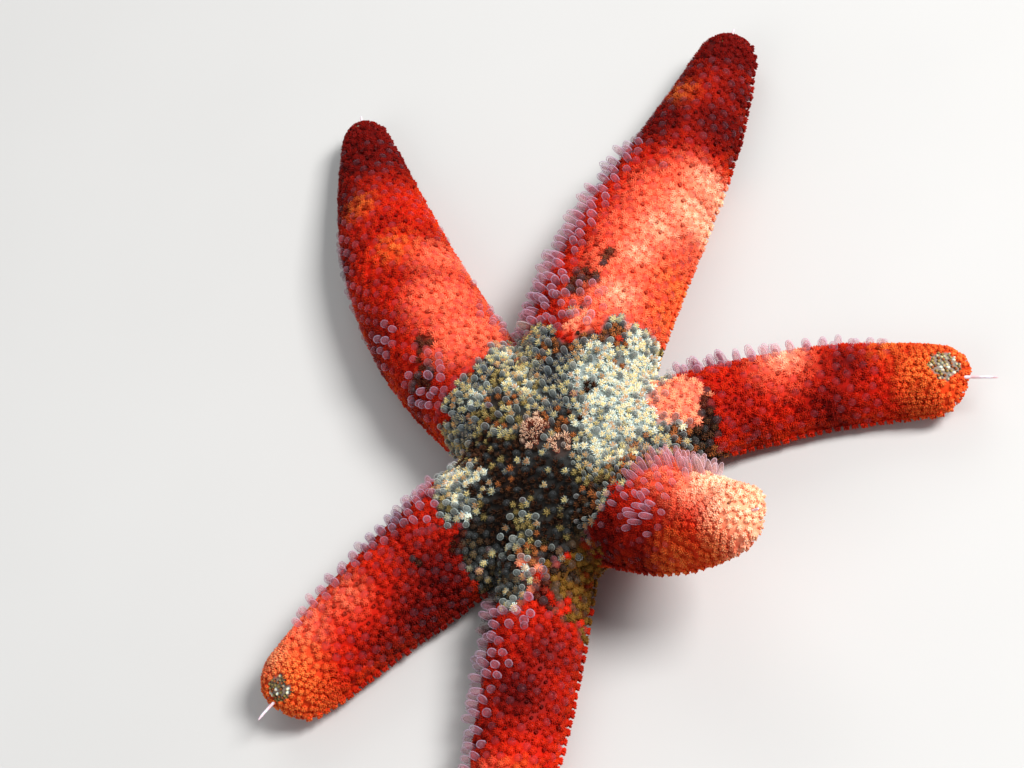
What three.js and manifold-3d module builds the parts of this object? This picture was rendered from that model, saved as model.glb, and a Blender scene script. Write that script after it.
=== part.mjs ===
// A six-armed sea star, life size, as a still museum model.
// Millimetres, +Z up. The disc is held a little above the floor, five arms rest on flats at z = 0,
// and one arm is raised. Sizes reach to the tips of the spinelets that cover the animal.
import * as THREE from "three";
import { mergeVertices } from "three/addons/utils/BufferGeometryUtils.js";
import Module from "manifold-3d";

const wasm = await Module();
wasm.setup();

// Driving dimensions, in millimetres and degrees.
const DISC_X = 0.1;
const DISC_Y = -6.85;
const DISC_RADIUS = 8.6;
const DISC_HEIGHT = 6.2;
const DISC_LIFT = 2;
const GAP = 0.3;

// The arm's section, as shares of its own half width or height.
const HEIGHT_TO_WIDTH = 0.67;
const ARCH_STEPS = 14;
const ARCH_POWER = 0.9;
const MARGIN_HEIGHT = 0.24;
const SOLE_EDGE = 0.8;
const GROOVE_EDGE = 0.2;
const GROOVE_DEPTH = 0.14;

const INNER_RINGS = 8;
const OUTER_RINGS = 7;
const TIP_RINGS = 5;
const ROOT_RINGS = 6;

const MOUTH_RADIUS = 2.6;
const MOUTH_DEPTH = 1.5;
const JAW_THICKNESS = 0.9;
const JAW_COUNT = 6;

const BUTTON = { x: -1, y: 1.7, radius: 0.9, depth: 0.8, stand: 0.3 };

const FEELER_RADIUS = 0.28;
const FEELER_SIDES = 8;

// The arms, lettered clockwise from the upper left as seen from above. heading is the way an arm
// sets out, bend turns it evenly over its reach, and hook turns its outer half further. widths
// are taken at a quarter, at 0.6 and at 0.95 of the reach. root is where the arm leaves the
// disc, and elbow and ocular are where its outer length and its tip begin, as shares of reach.
const LYING = { down: 0.55, lift: 1.2, liftFrom: 0.75, liftPower: 1.8 };
const RAISED = { down: Infinity, lift: 9.4, liftFrom: 0.14, liftPower: 1.4 };
const LENGTHS = { elbow: 0.66, ocular: 0.88 };
const ARMS = [
  { name: "arm_a", heading: 113, bend: -47, hook: 5, reach: 41.8, widths: [9.2, 9.1, 4.3], root: 15.5, ...LYING },
  { name: "arm_b", heading: 62, bend: -44, hook: 26, reach: 40.8, widths: [10.6, 9.3, 5], root: 15.5, ...LYING },
  { name: "arm_c", heading: 4, bend: -44, hook: -4, reach: 30, widths: [7.2, 6.8, 5.4], root: 10.5, ...LYING },
  { name: "arm_d", heading: -73, bend: 25, hook: 12, reach: 22, widths: [8.8, 8.3, 4.6], root: 9.5, ...RAISED },
  { name: "arm_e", heading: -131, bend: 8, hook: -2, reach: 33.8, widths: [7.1, 6.7, 4.3], root: 10.5, ...LYING },
  { name: "arm_f", heading: 174, bend: 28, hook: 2, reach: 28, widths: [9.6, 8.3, 6], root: 10.5, ...LYING },
];

// The two arms whose terminal feeler is stretched out: how far it goes, and how far it sinks.
const FEELERS = {
  arm_c: { length: 2.4, sink: 0.2 },
  arm_f: { length: 2.6, sink: 1 },
};

const FINISHES = {
  disc: { color: 0x9a9478, roughness: 0.75, metalness: 0 },
  arm: { color: 0xc8381e, roughness: 0.7, metalness: 0 },
  tip: { color: 0xe07040, roughness: 0.65, metalness: 0 },
  button: { color: 0xb98f6c, roughness: 0.7, metalness: 0 },
  jaws: { color: 0xd9a441, roughness: 0.7, metalness: 0 },
};

const smooth = (x) => THREE.MathUtils.smoothstep(x, 0, 1);
const clamp01 = (x) => THREE.MathUtils.clamp(x, 0, 1);
const signedPower = (x, power) => Math.sign(x) * Math.abs(x) ** power;

// Height of an arm's sole above the floor, at a share t of its reach.
function soleHeight(arm, t) {
  const fallen = DISC_LIFT * (1 - smooth(t / arm.down));
  const raised = arm.lift * clamp01((t - arm.liftFrom) / (1 - arm.liftFrom)) ** arm.liftPower;
  return fallen + raised;
}

// Rise of the sole per millimetre of reach.
function soleSlope(arm, t) {
  const step = 0.01;
  const from = clamp01(t - step);
  const to = clamp01(t + step);
  const rise = soleHeight(arm, to) - soleHeight(arm, from);
  return THREE.MathUtils.clamp(rise / ((to - from) * arm.reach), -0.9, 0.9);
}

// Width of an arm at a share t of its reach: a parabola through its three stated widths.
function armWidth(arm, t) {
  const [inner, middle, outer] = arm.widths;
  const u = Math.max(0, (t - 0.25) / 0.35);
  return inner + u * (middle - inner) + (u * (u - 1) / 2) * (outer - 2 * middle + inner);
}

// Height of an arm's section: it grows out of the disc's own height into a share of its width.
function armHeight(arm, t) {
  return THREE.MathUtils.lerp(DISC_HEIGHT, HEIGHT_TO_WIDTH * armWidth(arm, t), smooth(t / 0.35));
}

// The frame of an arm's sole line after a distance from the disc's centre.
function soleFrame(arm, distance) {
  const count = Math.max(1, Math.ceil(distance / 0.5));
  const step = distance / count;
  const point = new THREE.Vector3(DISC_X, DISC_Y, soleHeight(arm, distance / arm.reach));
  const headingAt = (t) =>
    THREE.MathUtils.degToRad(arm.heading + arm.bend * t + arm.hook * clamp01((t - 0.55) / 0.45));
  for (let i = 0; i < count; i++) {
    const t = ((i + 0.5) * step) / arm.reach;
    const level = Math.sqrt(1 - soleSlope(arm, t) ** 2) * step;
    point.x += Math.cos(headingAt(t)) * level;
    point.y += Math.sin(headingAt(t)) * level;
  }
  const turn = headingAt(distance / arm.reach);
  const slope = soleSlope(arm, distance / arm.reach);
  const level = Math.sqrt(1 - slope ** 2);
  const along = new THREE.Vector3(Math.cos(turn) * level, Math.sin(turn) * level, slope);
  const side = new THREE.Vector3(-Math.sin(turn), Math.cos(turn), 0);
  const up = new THREE.Vector3().crossVectors(along, side);
  return { point, along, side, up };
}

// The section's outline as [sideways, upwards] pairs: an arch, then a flat sole with a groove.
function armSection(width, height, grooved) {
  const half = width / 2;
  const outline = [];
  for (let i = 0; i <= ARCH_STEPS; i++) {
    const angle = (Math.PI * i) / ARCH_STEPS;
    const rise = MARGIN_HEIGHT + (1 - MARGIN_HEIGHT) * Math.sin(angle) ** ARCH_POWER;
    outline.push([half * signedPower(Math.cos(angle), ARCH_POWER), height * rise]);
  }
  const depth = grooved ? GROOVE_DEPTH * height : 0;
  outline.push([-SOLE_EDGE * half, 0]);
  outline.push([-GROOVE_EDGE * half, 0]);
  outline.push([0, depth]);
  outline.push([GROOVE_EDGE * half, 0]);
  outline.push([SOLE_EDGE * half, 0]);
  return outline;
}

// One ring of an arm, shrunk towards the section's middle where the tip rounds off.
function armRing(arm, distance, scale = 1, grooved = true) {
  const frame = soleFrame(arm, distance);
  const width = armWidth(arm, distance / arm.reach);
  const height = armHeight(arm, distance / arm.reach);
  const middle = 0.38 * height;
  return armSection(width, height, grooved).map(([across, rise]) =>
    frame.point
      .clone()
      .addScaledVector(frame.side, across * scale)
      .addScaledVector(frame.up, middle + (rise - middle) * scale),
  );
}

// A closed geometry through rings of equal count, with a fan over each end.
function loft(rings) {
  const count = rings[0].length;
  const points = rings.flat();
  const indices = [];
  for (let row = 0; row < rings.length - 1; row++) {
    for (let i = 0; i < count; i++) {
      const a = row * count + i;
      const b = row * count + ((i + 1) % count);
      indices.push(a, b, a + count);
      indices.push(b, b + count, a + count);
    }
  }
  const capEnd = (first, reversed) => {
    const centre = new THREE.Vector3();
    for (let i = 0; i < count; i++) {
      centre.addScaledVector(points[first + i], 1 / count);
    }
    const hub = points.push(centre) - 1;
    for (let i = 0; i < count; i++) {
      const a = first + i;
      const b = first + ((i + 1) % count);
      indices.push(...(reversed ? [b, a, hub] : [a, b, hub]));
    }
  };
  capEnd(0, true);
  capEnd((rings.length - 1) * count, false);
  const geometry = new THREE.BufferGeometry().setFromPoints(points);
  geometry.setIndex(indices);
  return geometry;
}

// Rings evenly spaced over a length of an arm.
function armLength(arm, from, to, count, grooved = true) {
  const rings = [];
  for (let i = 0; i < count; i++) {
    rings.push(armRing(arm, THREE.MathUtils.lerp(from, to, i / (count - 1)), 1, grooved));
  }
  return rings;
}

// The rounded tip of an arm, from a distance out to its full reach.
function armTip(arm, from) {
  const round = 0.42 * arm.widths[2];
  const rings = armLength(arm, from, arm.reach - round, 3);
  for (let i = 1; i <= TIP_RINGS; i++) {
    const angle = (Math.PI / 2) * (i / (TIP_RINGS + 0.4));
    rings.push(armRing(arm, arm.reach - round * (1 - Math.sin(angle)), Math.cos(angle)));
  }
  return loft(rings);
}

function toManifold(geometry) {
  const bare = geometry.clone();
  bare.deleteAttribute("normal");
  bare.deleteAttribute("uv");
  const merged = mergeVertices(bare, 1e-4);
  const mesh = new wasm.Mesh({
    numProp: 3,
    vertProperties: new Float32Array(merged.getAttribute("position").array),
    triVerts: new Uint32Array(merged.getIndex().array),
  });
  return new wasm.Manifold(mesh);
}

function toGeometry(manifold) {
  const { vertProperties, triVerts } = manifold.getMesh();
  const geometry = new THREE.BufferGeometry();
  geometry.setAttribute("position", new THREE.BufferAttribute(vertProperties, 3));
  geometry.setIndex(new THREE.BufferAttribute(triVerts, 1));
  geometry.computeVertexNormals();
  return geometry;
}

// A turned shape standing on +Z, from [radius, height] pairs that start and end on the axis.
function turned(profile, sides, x, y, z) {
  const outline = profile.map(([radius, height]) => new THREE.Vector2(radius, height));
  return new THREE.LatheGeometry(outline, sides).rotateX(Math.PI / 2).translate(x, y, z);
}

// The dome between the arms, from the disc's sole up to its crown.
function discDome() {
  const steps = 8;
  const profile = [[0, 0], [DISC_RADIUS * 0.9, 0]];
  for (let i = 1; i < steps; i++) {
    const angle = (Math.PI / 2) * (i / steps);
    const radius = DISC_RADIUS * Math.cos(angle) ** 0.7;
    profile.push([radius, DISC_HEIGHT * (0.2 + 0.8 * Math.sin(angle))]);
  }
  profile.push([0, DISC_HEIGHT]);
  return turned(profile, 32, DISC_X, DISC_Y, DISC_LIFT);
}

// The wedge that cuts an arm's groove from the mouth out to the arm's root.
function grooveWedge(arm) {
  const rings = [];
  for (let i = 0; i < ROOT_RINGS; i++) {
    const distance = THREE.MathUtils.lerp(0.5, arm.root + 0.5, i / (ROOT_RINGS - 1));
    const frame = soleFrame(arm, distance);
    const width = armWidth(arm, distance / arm.reach);
    const edge = GROOVE_EDGE * (width / 2) * 1.1;
    const depth = GROOVE_DEPTH * armHeight(arm, distance / arm.reach);
    const corners = [[edge, -0.1 * depth], [0, depth], [-edge, -0.1 * depth], [0, -1]];
    rings.push(
      corners.map(([across, rise]) =>
        frame.point.clone().addScaledVector(frame.side, across).addScaledVector(frame.up, rise),
      ),
    );
  }
  return loft(rings);
}

// The disc with the roots of all six arms, its grooves, its mouth and the button's socket.
function discGeometry() {
  let body = toManifold(discDome());
  for (const arm of ARMS) {
    body = body.add(toManifold(loft(armLength(arm, 1, arm.root - GAP / 2, ROOT_RINGS, false))));
  }
  for (const arm of ARMS) {
    body = body.subtract(toManifold(grooveWedge(arm)));
  }
  const pit = [[0, -1], [MOUTH_RADIUS, -1], [MOUTH_RADIUS, MOUTH_DEPTH], [0, MOUTH_DEPTH]];
  body = body.subtract(toManifold(turned(pit, 24, DISC_X, DISC_Y, DISC_LIFT)));
  const radius = BUTTON.radius + GAP;
  const socket = [[0, -BUTTON.depth - GAP], [radius, -BUTTON.depth - GAP], [radius, 3], [0, 3]];
  const crown = DISC_LIFT + DISC_HEIGHT;
  body = body.subtract(toManifold(turned(socket, 20, DISC_X + BUTTON.x, DISC_Y + BUTTON.y, crown)));
  return toGeometry(body);
}

// The sieve plate: a low rounded button set in its socket beside the disc's crown.
function buttonGeometry() {
  const { x, y, radius, depth, stand } = BUTTON;
  const profile = [
    [0, -depth],
    [radius, -depth],
    [radius, 0],
    [radius * 0.75, stand * 0.7],
    [radius * 0.35, stand],
    [0, stand],
  ];
  return turned(profile, 20, DISC_X + x, DISC_Y + y, DISC_LIFT + DISC_HEIGHT);
}

// The jaws: a ring in the mouth whose points reach inwards between the grooves.
function jawsGeometry() {
  const outline = new THREE.Shape();
  outline.absarc(0, 0, MOUTH_RADIUS - GAP, 0, 2 * Math.PI);
  const mouth = new THREE.Path();
  for (let i = 0; i <= 2 * JAW_COUNT; i++) {
    const angle = (Math.PI * i) / JAW_COUNT;
    const reach = i % 2 ? 0.7 : 1.7;
    const corner = new THREE.Vector2(reach * Math.cos(angle), reach * Math.sin(angle));
    i ? mouth.lineTo(corner.x, corner.y) : mouth.moveTo(corner.x, corner.y);
  }
  outline.holes.push(mouth);
  const plate = new THREE.ExtrudeGeometry(outline, {
    depth: JAW_THICKNESS,
    bevelEnabled: false,
    curveSegments: 8,
  });
  return plate.translate(DISC_X, DISC_Y, DISC_LIFT + MOUTH_DEPTH - GAP - JAW_THICKNESS);
}

// The soft feeler that reaches out of an arm's tip and sinks towards the floor.
function feelerGeometry(arm, { length, sink }) {
  const { point, along, up } = soleFrame(arm, arm.reach - 1);
  const root = point.clone().addScaledVector(up, 0.3 * arm.widths[2]);
  const rings = [];
  for (let i = 0; i < 5; i++) {
    const share = i / 4;
    const centre = root.clone().addScaledVector(along, share * (length + 1));
    centre.z -= sink * share ** 2;
    const radius = FEELER_RADIUS * (1 - 0.1 * share);
    const ring = [];
    for (let k = 0; k < FEELER_SIDES; k++) {
      const angle = (2 * Math.PI * k) / FEELER_SIDES;
      const side = new THREE.Vector3().crossVectors(along, up).multiplyScalar(-Math.cos(angle) * radius);
      ring.push(centre.clone().add(side).addScaledVector(up, Math.sin(angle) * radius));
    }
    rings.push(ring);
  }
  return loft(rings);
}

function tipGeometry(arm) {
  const tip = armTip(arm, LENGTHS.ocular * arm.reach + GAP / 2);
  const feeler = FEELERS[arm.name];
  if (!feeler) {
    return toGeometry(toManifold(tip));
  }
  return toGeometry(toManifold(tip).add(toManifold(feelerGeometry(arm, feeler))));
}

const star = new THREE.Group();

function addPiece(name, geometry, finish) {
  geometry.computeVertexNormals();
  const material = new THREE.MeshStandardMaterial({ name: `${name}_finish`, ...FINISHES[finish] });
  const mesh = new THREE.Mesh(geometry, material);
  mesh.name = name;
  star.add(mesh);
}

addPiece("disc", discGeometry(), "disc");
addPiece("madreporite", buttonGeometry(), "button");
addPiece("jaws", jawsGeometry(), "jaws");
for (const arm of ARMS) {
  const elbow = LENGTHS.elbow * arm.reach;
  const ocular = LENGTHS.ocular * arm.reach;
  const inner = loft(armLength(arm, arm.root + GAP / 2, elbow - GAP / 2, INNER_RINGS));
  const outer = loft(armLength(arm, elbow + GAP / 2, ocular - GAP / 2, OUTER_RINGS));
  addPiece(`${arm.name}_inner`, inner, "arm");
  addPiece(`${arm.name}_outer`, outer, "arm");
  addPiece(`${arm.name}_tip`, tipGeometry(arm), "tip");
}

export default star;
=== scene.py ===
"""A six-armed sea star as a still museum model: its skin, coat, papulae and feet, dressed in Blender.

Shapes are worked out in millimetres and turned into metres when a mesh is made.
"""

import logging
import math
from dataclasses import dataclass, field
from enum import Enum

import bpy
import numpy as np
from mathutils import Matrix, Vector
from mathutils.bvhtree import BVHTree


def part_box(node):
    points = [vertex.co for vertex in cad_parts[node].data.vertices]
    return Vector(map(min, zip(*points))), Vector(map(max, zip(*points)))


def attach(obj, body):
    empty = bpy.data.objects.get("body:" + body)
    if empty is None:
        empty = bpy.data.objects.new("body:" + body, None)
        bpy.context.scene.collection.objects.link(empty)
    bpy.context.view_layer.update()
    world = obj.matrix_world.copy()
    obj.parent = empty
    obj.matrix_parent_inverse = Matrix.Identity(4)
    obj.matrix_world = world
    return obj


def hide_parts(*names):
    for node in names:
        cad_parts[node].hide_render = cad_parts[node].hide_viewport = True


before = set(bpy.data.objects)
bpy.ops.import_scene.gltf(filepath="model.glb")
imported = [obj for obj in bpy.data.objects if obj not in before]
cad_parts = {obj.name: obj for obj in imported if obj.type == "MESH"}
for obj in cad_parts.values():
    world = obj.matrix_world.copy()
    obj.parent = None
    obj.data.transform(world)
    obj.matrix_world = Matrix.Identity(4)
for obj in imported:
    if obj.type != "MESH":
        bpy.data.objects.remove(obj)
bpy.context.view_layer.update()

log = logging.getLogger("sea_star")

Array = np.ndarray
Chance = np.random.Generator
Piece = bpy.types.Object
Material = bpy.types.Material
Node = bpy.types.Node
Socket = bpy.types.NodeSocket
Colour = tuple[float, float, float, float]
Shell = tuple[Array, Array]

MM = 0.001
BAKE_MAP = "OFBake"
BAKE_PATCH = 0.003

# Sizes that the solids share, in millimetres or as shares of an arm's own half width or height.
DISC_RADIUS = 8.6
DISC_HEIGHT = 6.2
DISC_LIFT = 2.0
CROWN = DISC_LIFT + DISC_HEIGHT
HEIGHT_TO_WIDTH = 0.67
ARCH_POWER = 0.9
MARGIN_HEIGHT = 0.24
SOLE_EDGE = 0.8
GROOVE_EDGE = 0.2
TIP_ROUND = 0.42
TIP_MIDDLE = 0.38
MOUTH_RADIUS = 2.6

# How deep the skin lies under the coat's tips, and how high its sole is above the solids' sole.
COAT_DEPTH = 0.36
SOLE_DEPTH = 0.24
FLOOR_CLEARANCE = 0.005

# The rise share under which the skin counts as the underside.
UNDERSIDE = 0.12

# What keeps the level part of a direction, and the way up.
LEVEL = np.array([1.0, 1.0, 0.0])
UP = np.array([0.0, 0.0, 1.0])


def smooth(x: Array) -> Array:
    """Eases from 0 to 1 with level ends."""
    x = np.clip(x, 0.0, 1.0)
    return x * x * (3.0 - 2.0 * x)


def unit(vectors: Array) -> Array:
    """Scales each row to length one."""
    return vectors / np.maximum(np.linalg.norm(vectors, axis=-1, keepdims=True), 1e-12)


def dot(a: Array, b: Array) -> Array:
    """The scalar product of each pair of rows."""
    return np.sum(a * b, axis=-1)


def linear(red: int, green: int, blue: int) -> Colour:
    """Turns a screen colour of 0 to 255 into a shader's linear colour."""
    shares = [c / 255 for c in (red, green, blue)]
    return (*(c / 12.92 if c <= 0.04 else ((c + 0.055) / 1.055) ** 2.4 for c in shares), 1.0)


def ripple(points: Array, length: float, seed: int) -> Array:
    """Gives a smooth, patternless field from a few crossing waves.

    Args:
        points: Places in millimetres, one row each.
        length: The waves' usual length in millimetres.
        seed: Picks the waves.

    Returns:
        One value a place, mostly within -1 and 1.
    """
    rng = np.random.default_rng(seed)
    waves = 7
    ways = unit(rng.normal(size=(waves, 3))) * (math.tau / length) * rng.uniform(0.6, 1.6, (waves, 1))
    starts = rng.uniform(0, math.tau, waves)
    return np.sin(points @ ways.T + starts).sum(axis=1) * (1.2 / waves**0.5) * 0.5


def seeded(seed: int) -> Chance:
    """A dataclass field that holds a run of seeded chance."""
    return field(default_factory=lambda: np.random.default_rng(seed))


def disc_centre() -> Array:
    """The disc's centre on the floor, in millimetres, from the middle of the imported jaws."""
    low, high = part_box("jaws")
    middle = (low + high) / 2
    return np.array([middle.x / MM, middle.y / MM, 0.0])


# The body's plan


@dataclass(frozen=True)
class Bearing:
    """How an arm's sole runs above the floor: where it comes down, and how its end lifts."""

    down: float
    lift: float
    lift_from: float
    lift_power: float


LYING = Bearing(down=0.55, lift=1.2, lift_from=0.75, lift_power=1.8)
RAISED = Bearing(down=math.inf, lift=9.4, lift_from=0.14, lift_power=1.4)


@dataclass(frozen=True)
class ArmPlan:
    """One arm: the way it sets out, how it bends, how far it reaches and how wide it is."""

    name: str
    heading: float
    bend: float
    hook: float
    reach: float
    widths: tuple[float, float, float]
    root: float
    bearing: Bearing = LYING
    feeler: float = 0.45
    feeler_sink: float = 0.1
    bare: float = 0.25
    bare_back: float = 1.1
    beads: float = 1.6
    comb: float = 1.0
    comb_end: float = 0.88
    crowd: float = math.inf
    sac_lean: float = -0.12
    sac_girth: float = 1.0
    pillowed: bool = False

    def sole_height(self, share: Array) -> Array:
        """Height of the sole above the floor at a share of the reach."""
        b = self.bearing
        fallen = DISC_LIFT * (1 - smooth(share / b.down))
        raised = b.lift * np.clip((share - b.lift_from) / (1 - b.lift_from), 0, 1) ** b.lift_power
        return fallen + raised

    def sole_slope(self, share: Array) -> Array:
        """Rise of the sole for each millimetre of reach."""
        start, stop = np.clip(share - 0.01, 0, 1), np.clip(share + 0.01, 0, 1)
        rise = self.sole_height(stop) - self.sole_height(start)
        return np.clip(rise / ((stop - start) * self.reach), -0.9, 0.9)

    def width(self, share: Array) -> Array:
        """Width at a share of the reach: a parabola through the three stated widths."""
        inner, middle, outer = self.widths
        u = np.maximum(0, (share - 0.25) / 0.35)
        return inner + u * (middle - inner) + u * (u - 1) / 2 * (outer - 2 * middle + inner)

    def height(self, share: Array) -> Array:
        """Height of the section, which grows out of the disc's own height."""
        blend = smooth(share / 0.35)
        return DISC_HEIGHT * (1 - blend) + HEIGHT_TO_WIDTH * self.width(share) * blend

    def turn(self, share: Array) -> Array:
        """Heading of the sole line in radians."""
        hooked = self.hook * np.clip((share - 0.55) / 0.45, 0, 1)
        return np.radians(self.heading + self.bend * share + hooked)

    def taper(self, distance: Array) -> Array:
        """Share of its full section that the arm keeps where its tip rounds off."""
        over = (distance - self.reach) / (TIP_ROUND * self.widths[2]) + 1
        return np.sqrt(np.clip(1 - np.clip(over, 0, 1) ** 2, 0.0, 1))


class ArmLine:
    """An arm's sole line, walked outwards from the disc's centre."""

    STEP = 0.1

    def __init__(self, plan: ArmPlan, centre: Array) -> None:
        """Walks the line.

        Args:
            plan: The arm.
            centre: The disc's centre on the floor.
        """
        self.plan = plan
        self.distance = np.arange(0, plan.reach + self.STEP, self.STEP)
        middle = (self.distance[:-1] + self.STEP / 2) / plan.reach
        level = np.sqrt(1 - plan.sole_slope(middle) ** 2) * self.STEP
        x = np.concatenate([[0], np.cumsum(np.cos(plan.turn(middle)) * level)])
        y = np.concatenate([[0], np.cumsum(np.sin(plan.turn(middle)) * level)])
        share = self.distance / plan.reach
        self.points = np.stack([centre[0] + x, centre[1] + y, plan.sole_height(share)], axis=1)

    def frames(self, distance: Array | float) -> tuple[Array, Array, Array, Array]:
        """Gives the sole's point, and the along, side and up directions, at each distance."""
        share = np.clip(distance / self.plan.reach, 0, 1)
        columns = [np.interp(distance, self.distance, column) for column in self.points.T]
        points = np.stack(columns, axis=-1)
        turn, slope = self.plan.turn(share), self.plan.sole_slope(share)
        level = np.sqrt(1 - slope**2)
        along = np.stack([np.cos(turn) * level, np.sin(turn) * level, slope], axis=-1)
        side = np.stack([-np.sin(turn), np.cos(turn), np.zeros_like(turn)], axis=-1)
        return points, along, side, np.cross(along, side)

    def lift_off(
        self, distance: Array | float, across: Array | float, rise: Array | float, inset: float = 0.0
    ) -> Array:
        """Turns section coordinates into places.

        Args:
            distance: Distances from the disc's centre along the arm, or one distance.
            across: Sideways shares of the half width, or one for all.
            rise: Upward shares of the height, or one for all.
            inset: How far the section is shrunk, in millimetres.

        Returns:
            Places in millimetres.
        """
        points, _, side, up = self.frames(distance)
        share = np.clip(distance / self.plan.reach, 0, 1)
        half = self.plan.width(share) / 2 - inset
        height = self.plan.height(share) - inset
        scale = self.plan.taper(distance)
        middle = TIP_MIDDLE * height
        sideways = across * half * scale
        upwards = middle + (rise * height - middle) * scale
        return points + side * sideways[..., None] + up * upwards[..., None]

    def measure(self, points: Array) -> tuple[Array, Array, Array]:
        """Finds section coordinates from places.

        Args:
            points: Places in millimetres.

        Returns:
            Distance along the arm, and the across and rise shares of its section.
        """
        marks = np.arange(0, self.plan.reach + 1, 1.0)
        share = np.clip(marks / self.plan.reach, 0, 1)
        feet, along, _, up = self.frames(marks)
        middles = feet + up * (TIP_MIDDLE * self.plan.height(share))[:, None]
        gaps = np.linalg.norm(points[:, None, :] - middles[None, :, :], axis=2)
        nearest = gaps.argmin(axis=1)
        distance = marks[nearest] + dot(points - middles[nearest], along[nearest])
        distance = np.clip(distance, 0, self.plan.reach)
        foot, _, side, up = self.frames(distance)
        share = distance / self.plan.reach
        across = dot(points - foot, side) / (self.plan.width(share) / 2)
        rise = dot(points - foot, up) / self.plan.height(share)
        return distance, across, rise


ARMS = (
    ArmPlan("arm_a", 113, -47, 5, 41.8, (9.2, 9.1, 4.3), 15.5, comb=0.32, comb_end=0.78),
    ArmPlan("arm_b", 62, -44, 26, 40.8, (10.6, 9.3, 5.0), 15.5, comb=0.95, comb_end=0.72),
    ArmPlan(
        "arm_c", 4, -44, -4, 30.0, (7.2, 6.8, 5.4), 10.5,
        feeler=2.4, feeler_sink=0.2, bare=1.15, beads=4.6, comb=1.5,
    ),
    ArmPlan(
        "arm_d", -73, 25, 12, 22.0, (8.8, 8.3, 4.6), 9.5, RAISED,
        bare=0.15, beads=4.2, comb_end=0.92, crowd=0.45, sac_lean=-0.6, sac_girth=0.74,
    ),
    ArmPlan("arm_e", -131, 8, -2, 33.8, (7.1, 6.7, 4.3), 10.5, comb=0.85, pillowed=True),
    ArmPlan(
        "arm_f", 174, 28, 2, 28.0, (9.6, 8.3, 6.0), 10.5,
        feeler=1.6, feeler_sink=0.5, bare=1.0, bare_back=0.6, beads=4.4, comb=0.6, pillowed=True,
    ),
)


@dataclass
class Survey:
    """Where places lie on the star: the nearest arm, and section coordinates on it."""

    arm: Array
    share: Array
    across: Array
    rise: Array

    def pick(self, chosen: Array) -> "Survey":
        """The rows that a mask or a list of numbers chooses."""
        return Survey(*(rows[chosen] for rows in vars(self).values()))

    @staticmethod
    def join(parts: list["Survey"]) -> "Survey":
        """Puts the rows of several surveys together."""
        return Survey(*(np.concatenate(rows) for rows in zip(*(vars(part).values() for part in parts))))


class StarPlan:
    """The whole body's plan: the disc's centre and the six arms' lines."""

    def __init__(self) -> None:
        """Reads the disc's centre from the frame and walks every arm."""
        self.centre = disc_centre()
        self.lines = [ArmLine(plan, self.centre) for plan in ARMS]

    def survey(self, points: Array) -> Survey:
        """Finds the nearest arm to each place, and where on it the place lies."""
        found = [line.measure(points) for line in self.lines]
        reach = np.stack([f[0] / line.plan.reach for f, line in zip(found, self.lines)])
        across = np.stack([f[1] for f in found])
        rise = np.stack([f[2] for f in found])
        away = np.hypot(across, (rise - TIP_MIDDLE) / 0.6) + 3 * (reach <= 0.01)
        arm = away.argmin(axis=0)
        pick = (arm, np.arange(len(points)))
        return Survey(arm, reach[pick], across[pick], rise[pick])

    def spot(self, arm: int, share: float, across: float) -> Array:
        """A place on an arm's back, from the disc's centre, by share of reach and of half width."""
        line = self.lines[arm]
        rise = MARGIN_HEIGHT + (1 - MARGIN_HEIGHT) * (1 - across**2) ** 0.5
        return line.lift_off(share * line.plan.reach, across, rise) - self.centre

    def off_centre(self, points: Array) -> Array:
        """Level distance of each place from the disc's centre."""
        return np.hypot(*(points[:, :2] - self.centre[:2]).T)

    def bare(self, points: Array) -> Array:
        """Which places lie in the bare patch over an arm's end."""
        found = np.zeros(len(points), bool)
        for line in self.lines:
            middle = line.lift_off(line.plan.reach - line.plan.bare_back, 0.1, 0.95)
            ragged = 1 + 0.25 * ripple(points, 1.1, 9)
            found |= np.linalg.norm(points - middle, axis=1) < line.plan.bare * ragged
        return found


# The markings, with their painted shade and highlights, shared by skin and coat


class Pigment(Enum):
    """A pigment of the body, or a painted shade or highlight, named as the attribute that carries it. Later
    ones lie over earlier ones.
    """

    WINE = "wine"
    BLUSH = "blush"
    PEACH = "peach"
    AMBER = "amber"
    GREY = "grey"
    OLIVE = "olive"
    SLATE = "slate"
    UMBER = "umber"
    CREAM = "cream"
    INK = "ink"
    CORAL = "coral"
    OCHRE = "ochre"
    ROSE = "rose"


@dataclass(frozen=True)
class Stain:
    """How densely a pigment, painted shade or painted highlight fills its spots, how soft their edge is,
    and where they lie.

    Attributes:
        dense: Share of the tufts in a spot that take the pigment.
        edge: Width of the spots' edge in millimetres.
        spots: x, y and radius of each spot in millimetres, from the disc's centre.
        arm_spots: Arm, share of its reach, share of its half width and radius of each spot.
    """

    dense: float
    edge: float
    spots: tuple[tuple[float, float, float], ...] = ()
    arm_spots: tuple[tuple[int, float, float, float], ...] = ()


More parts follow.
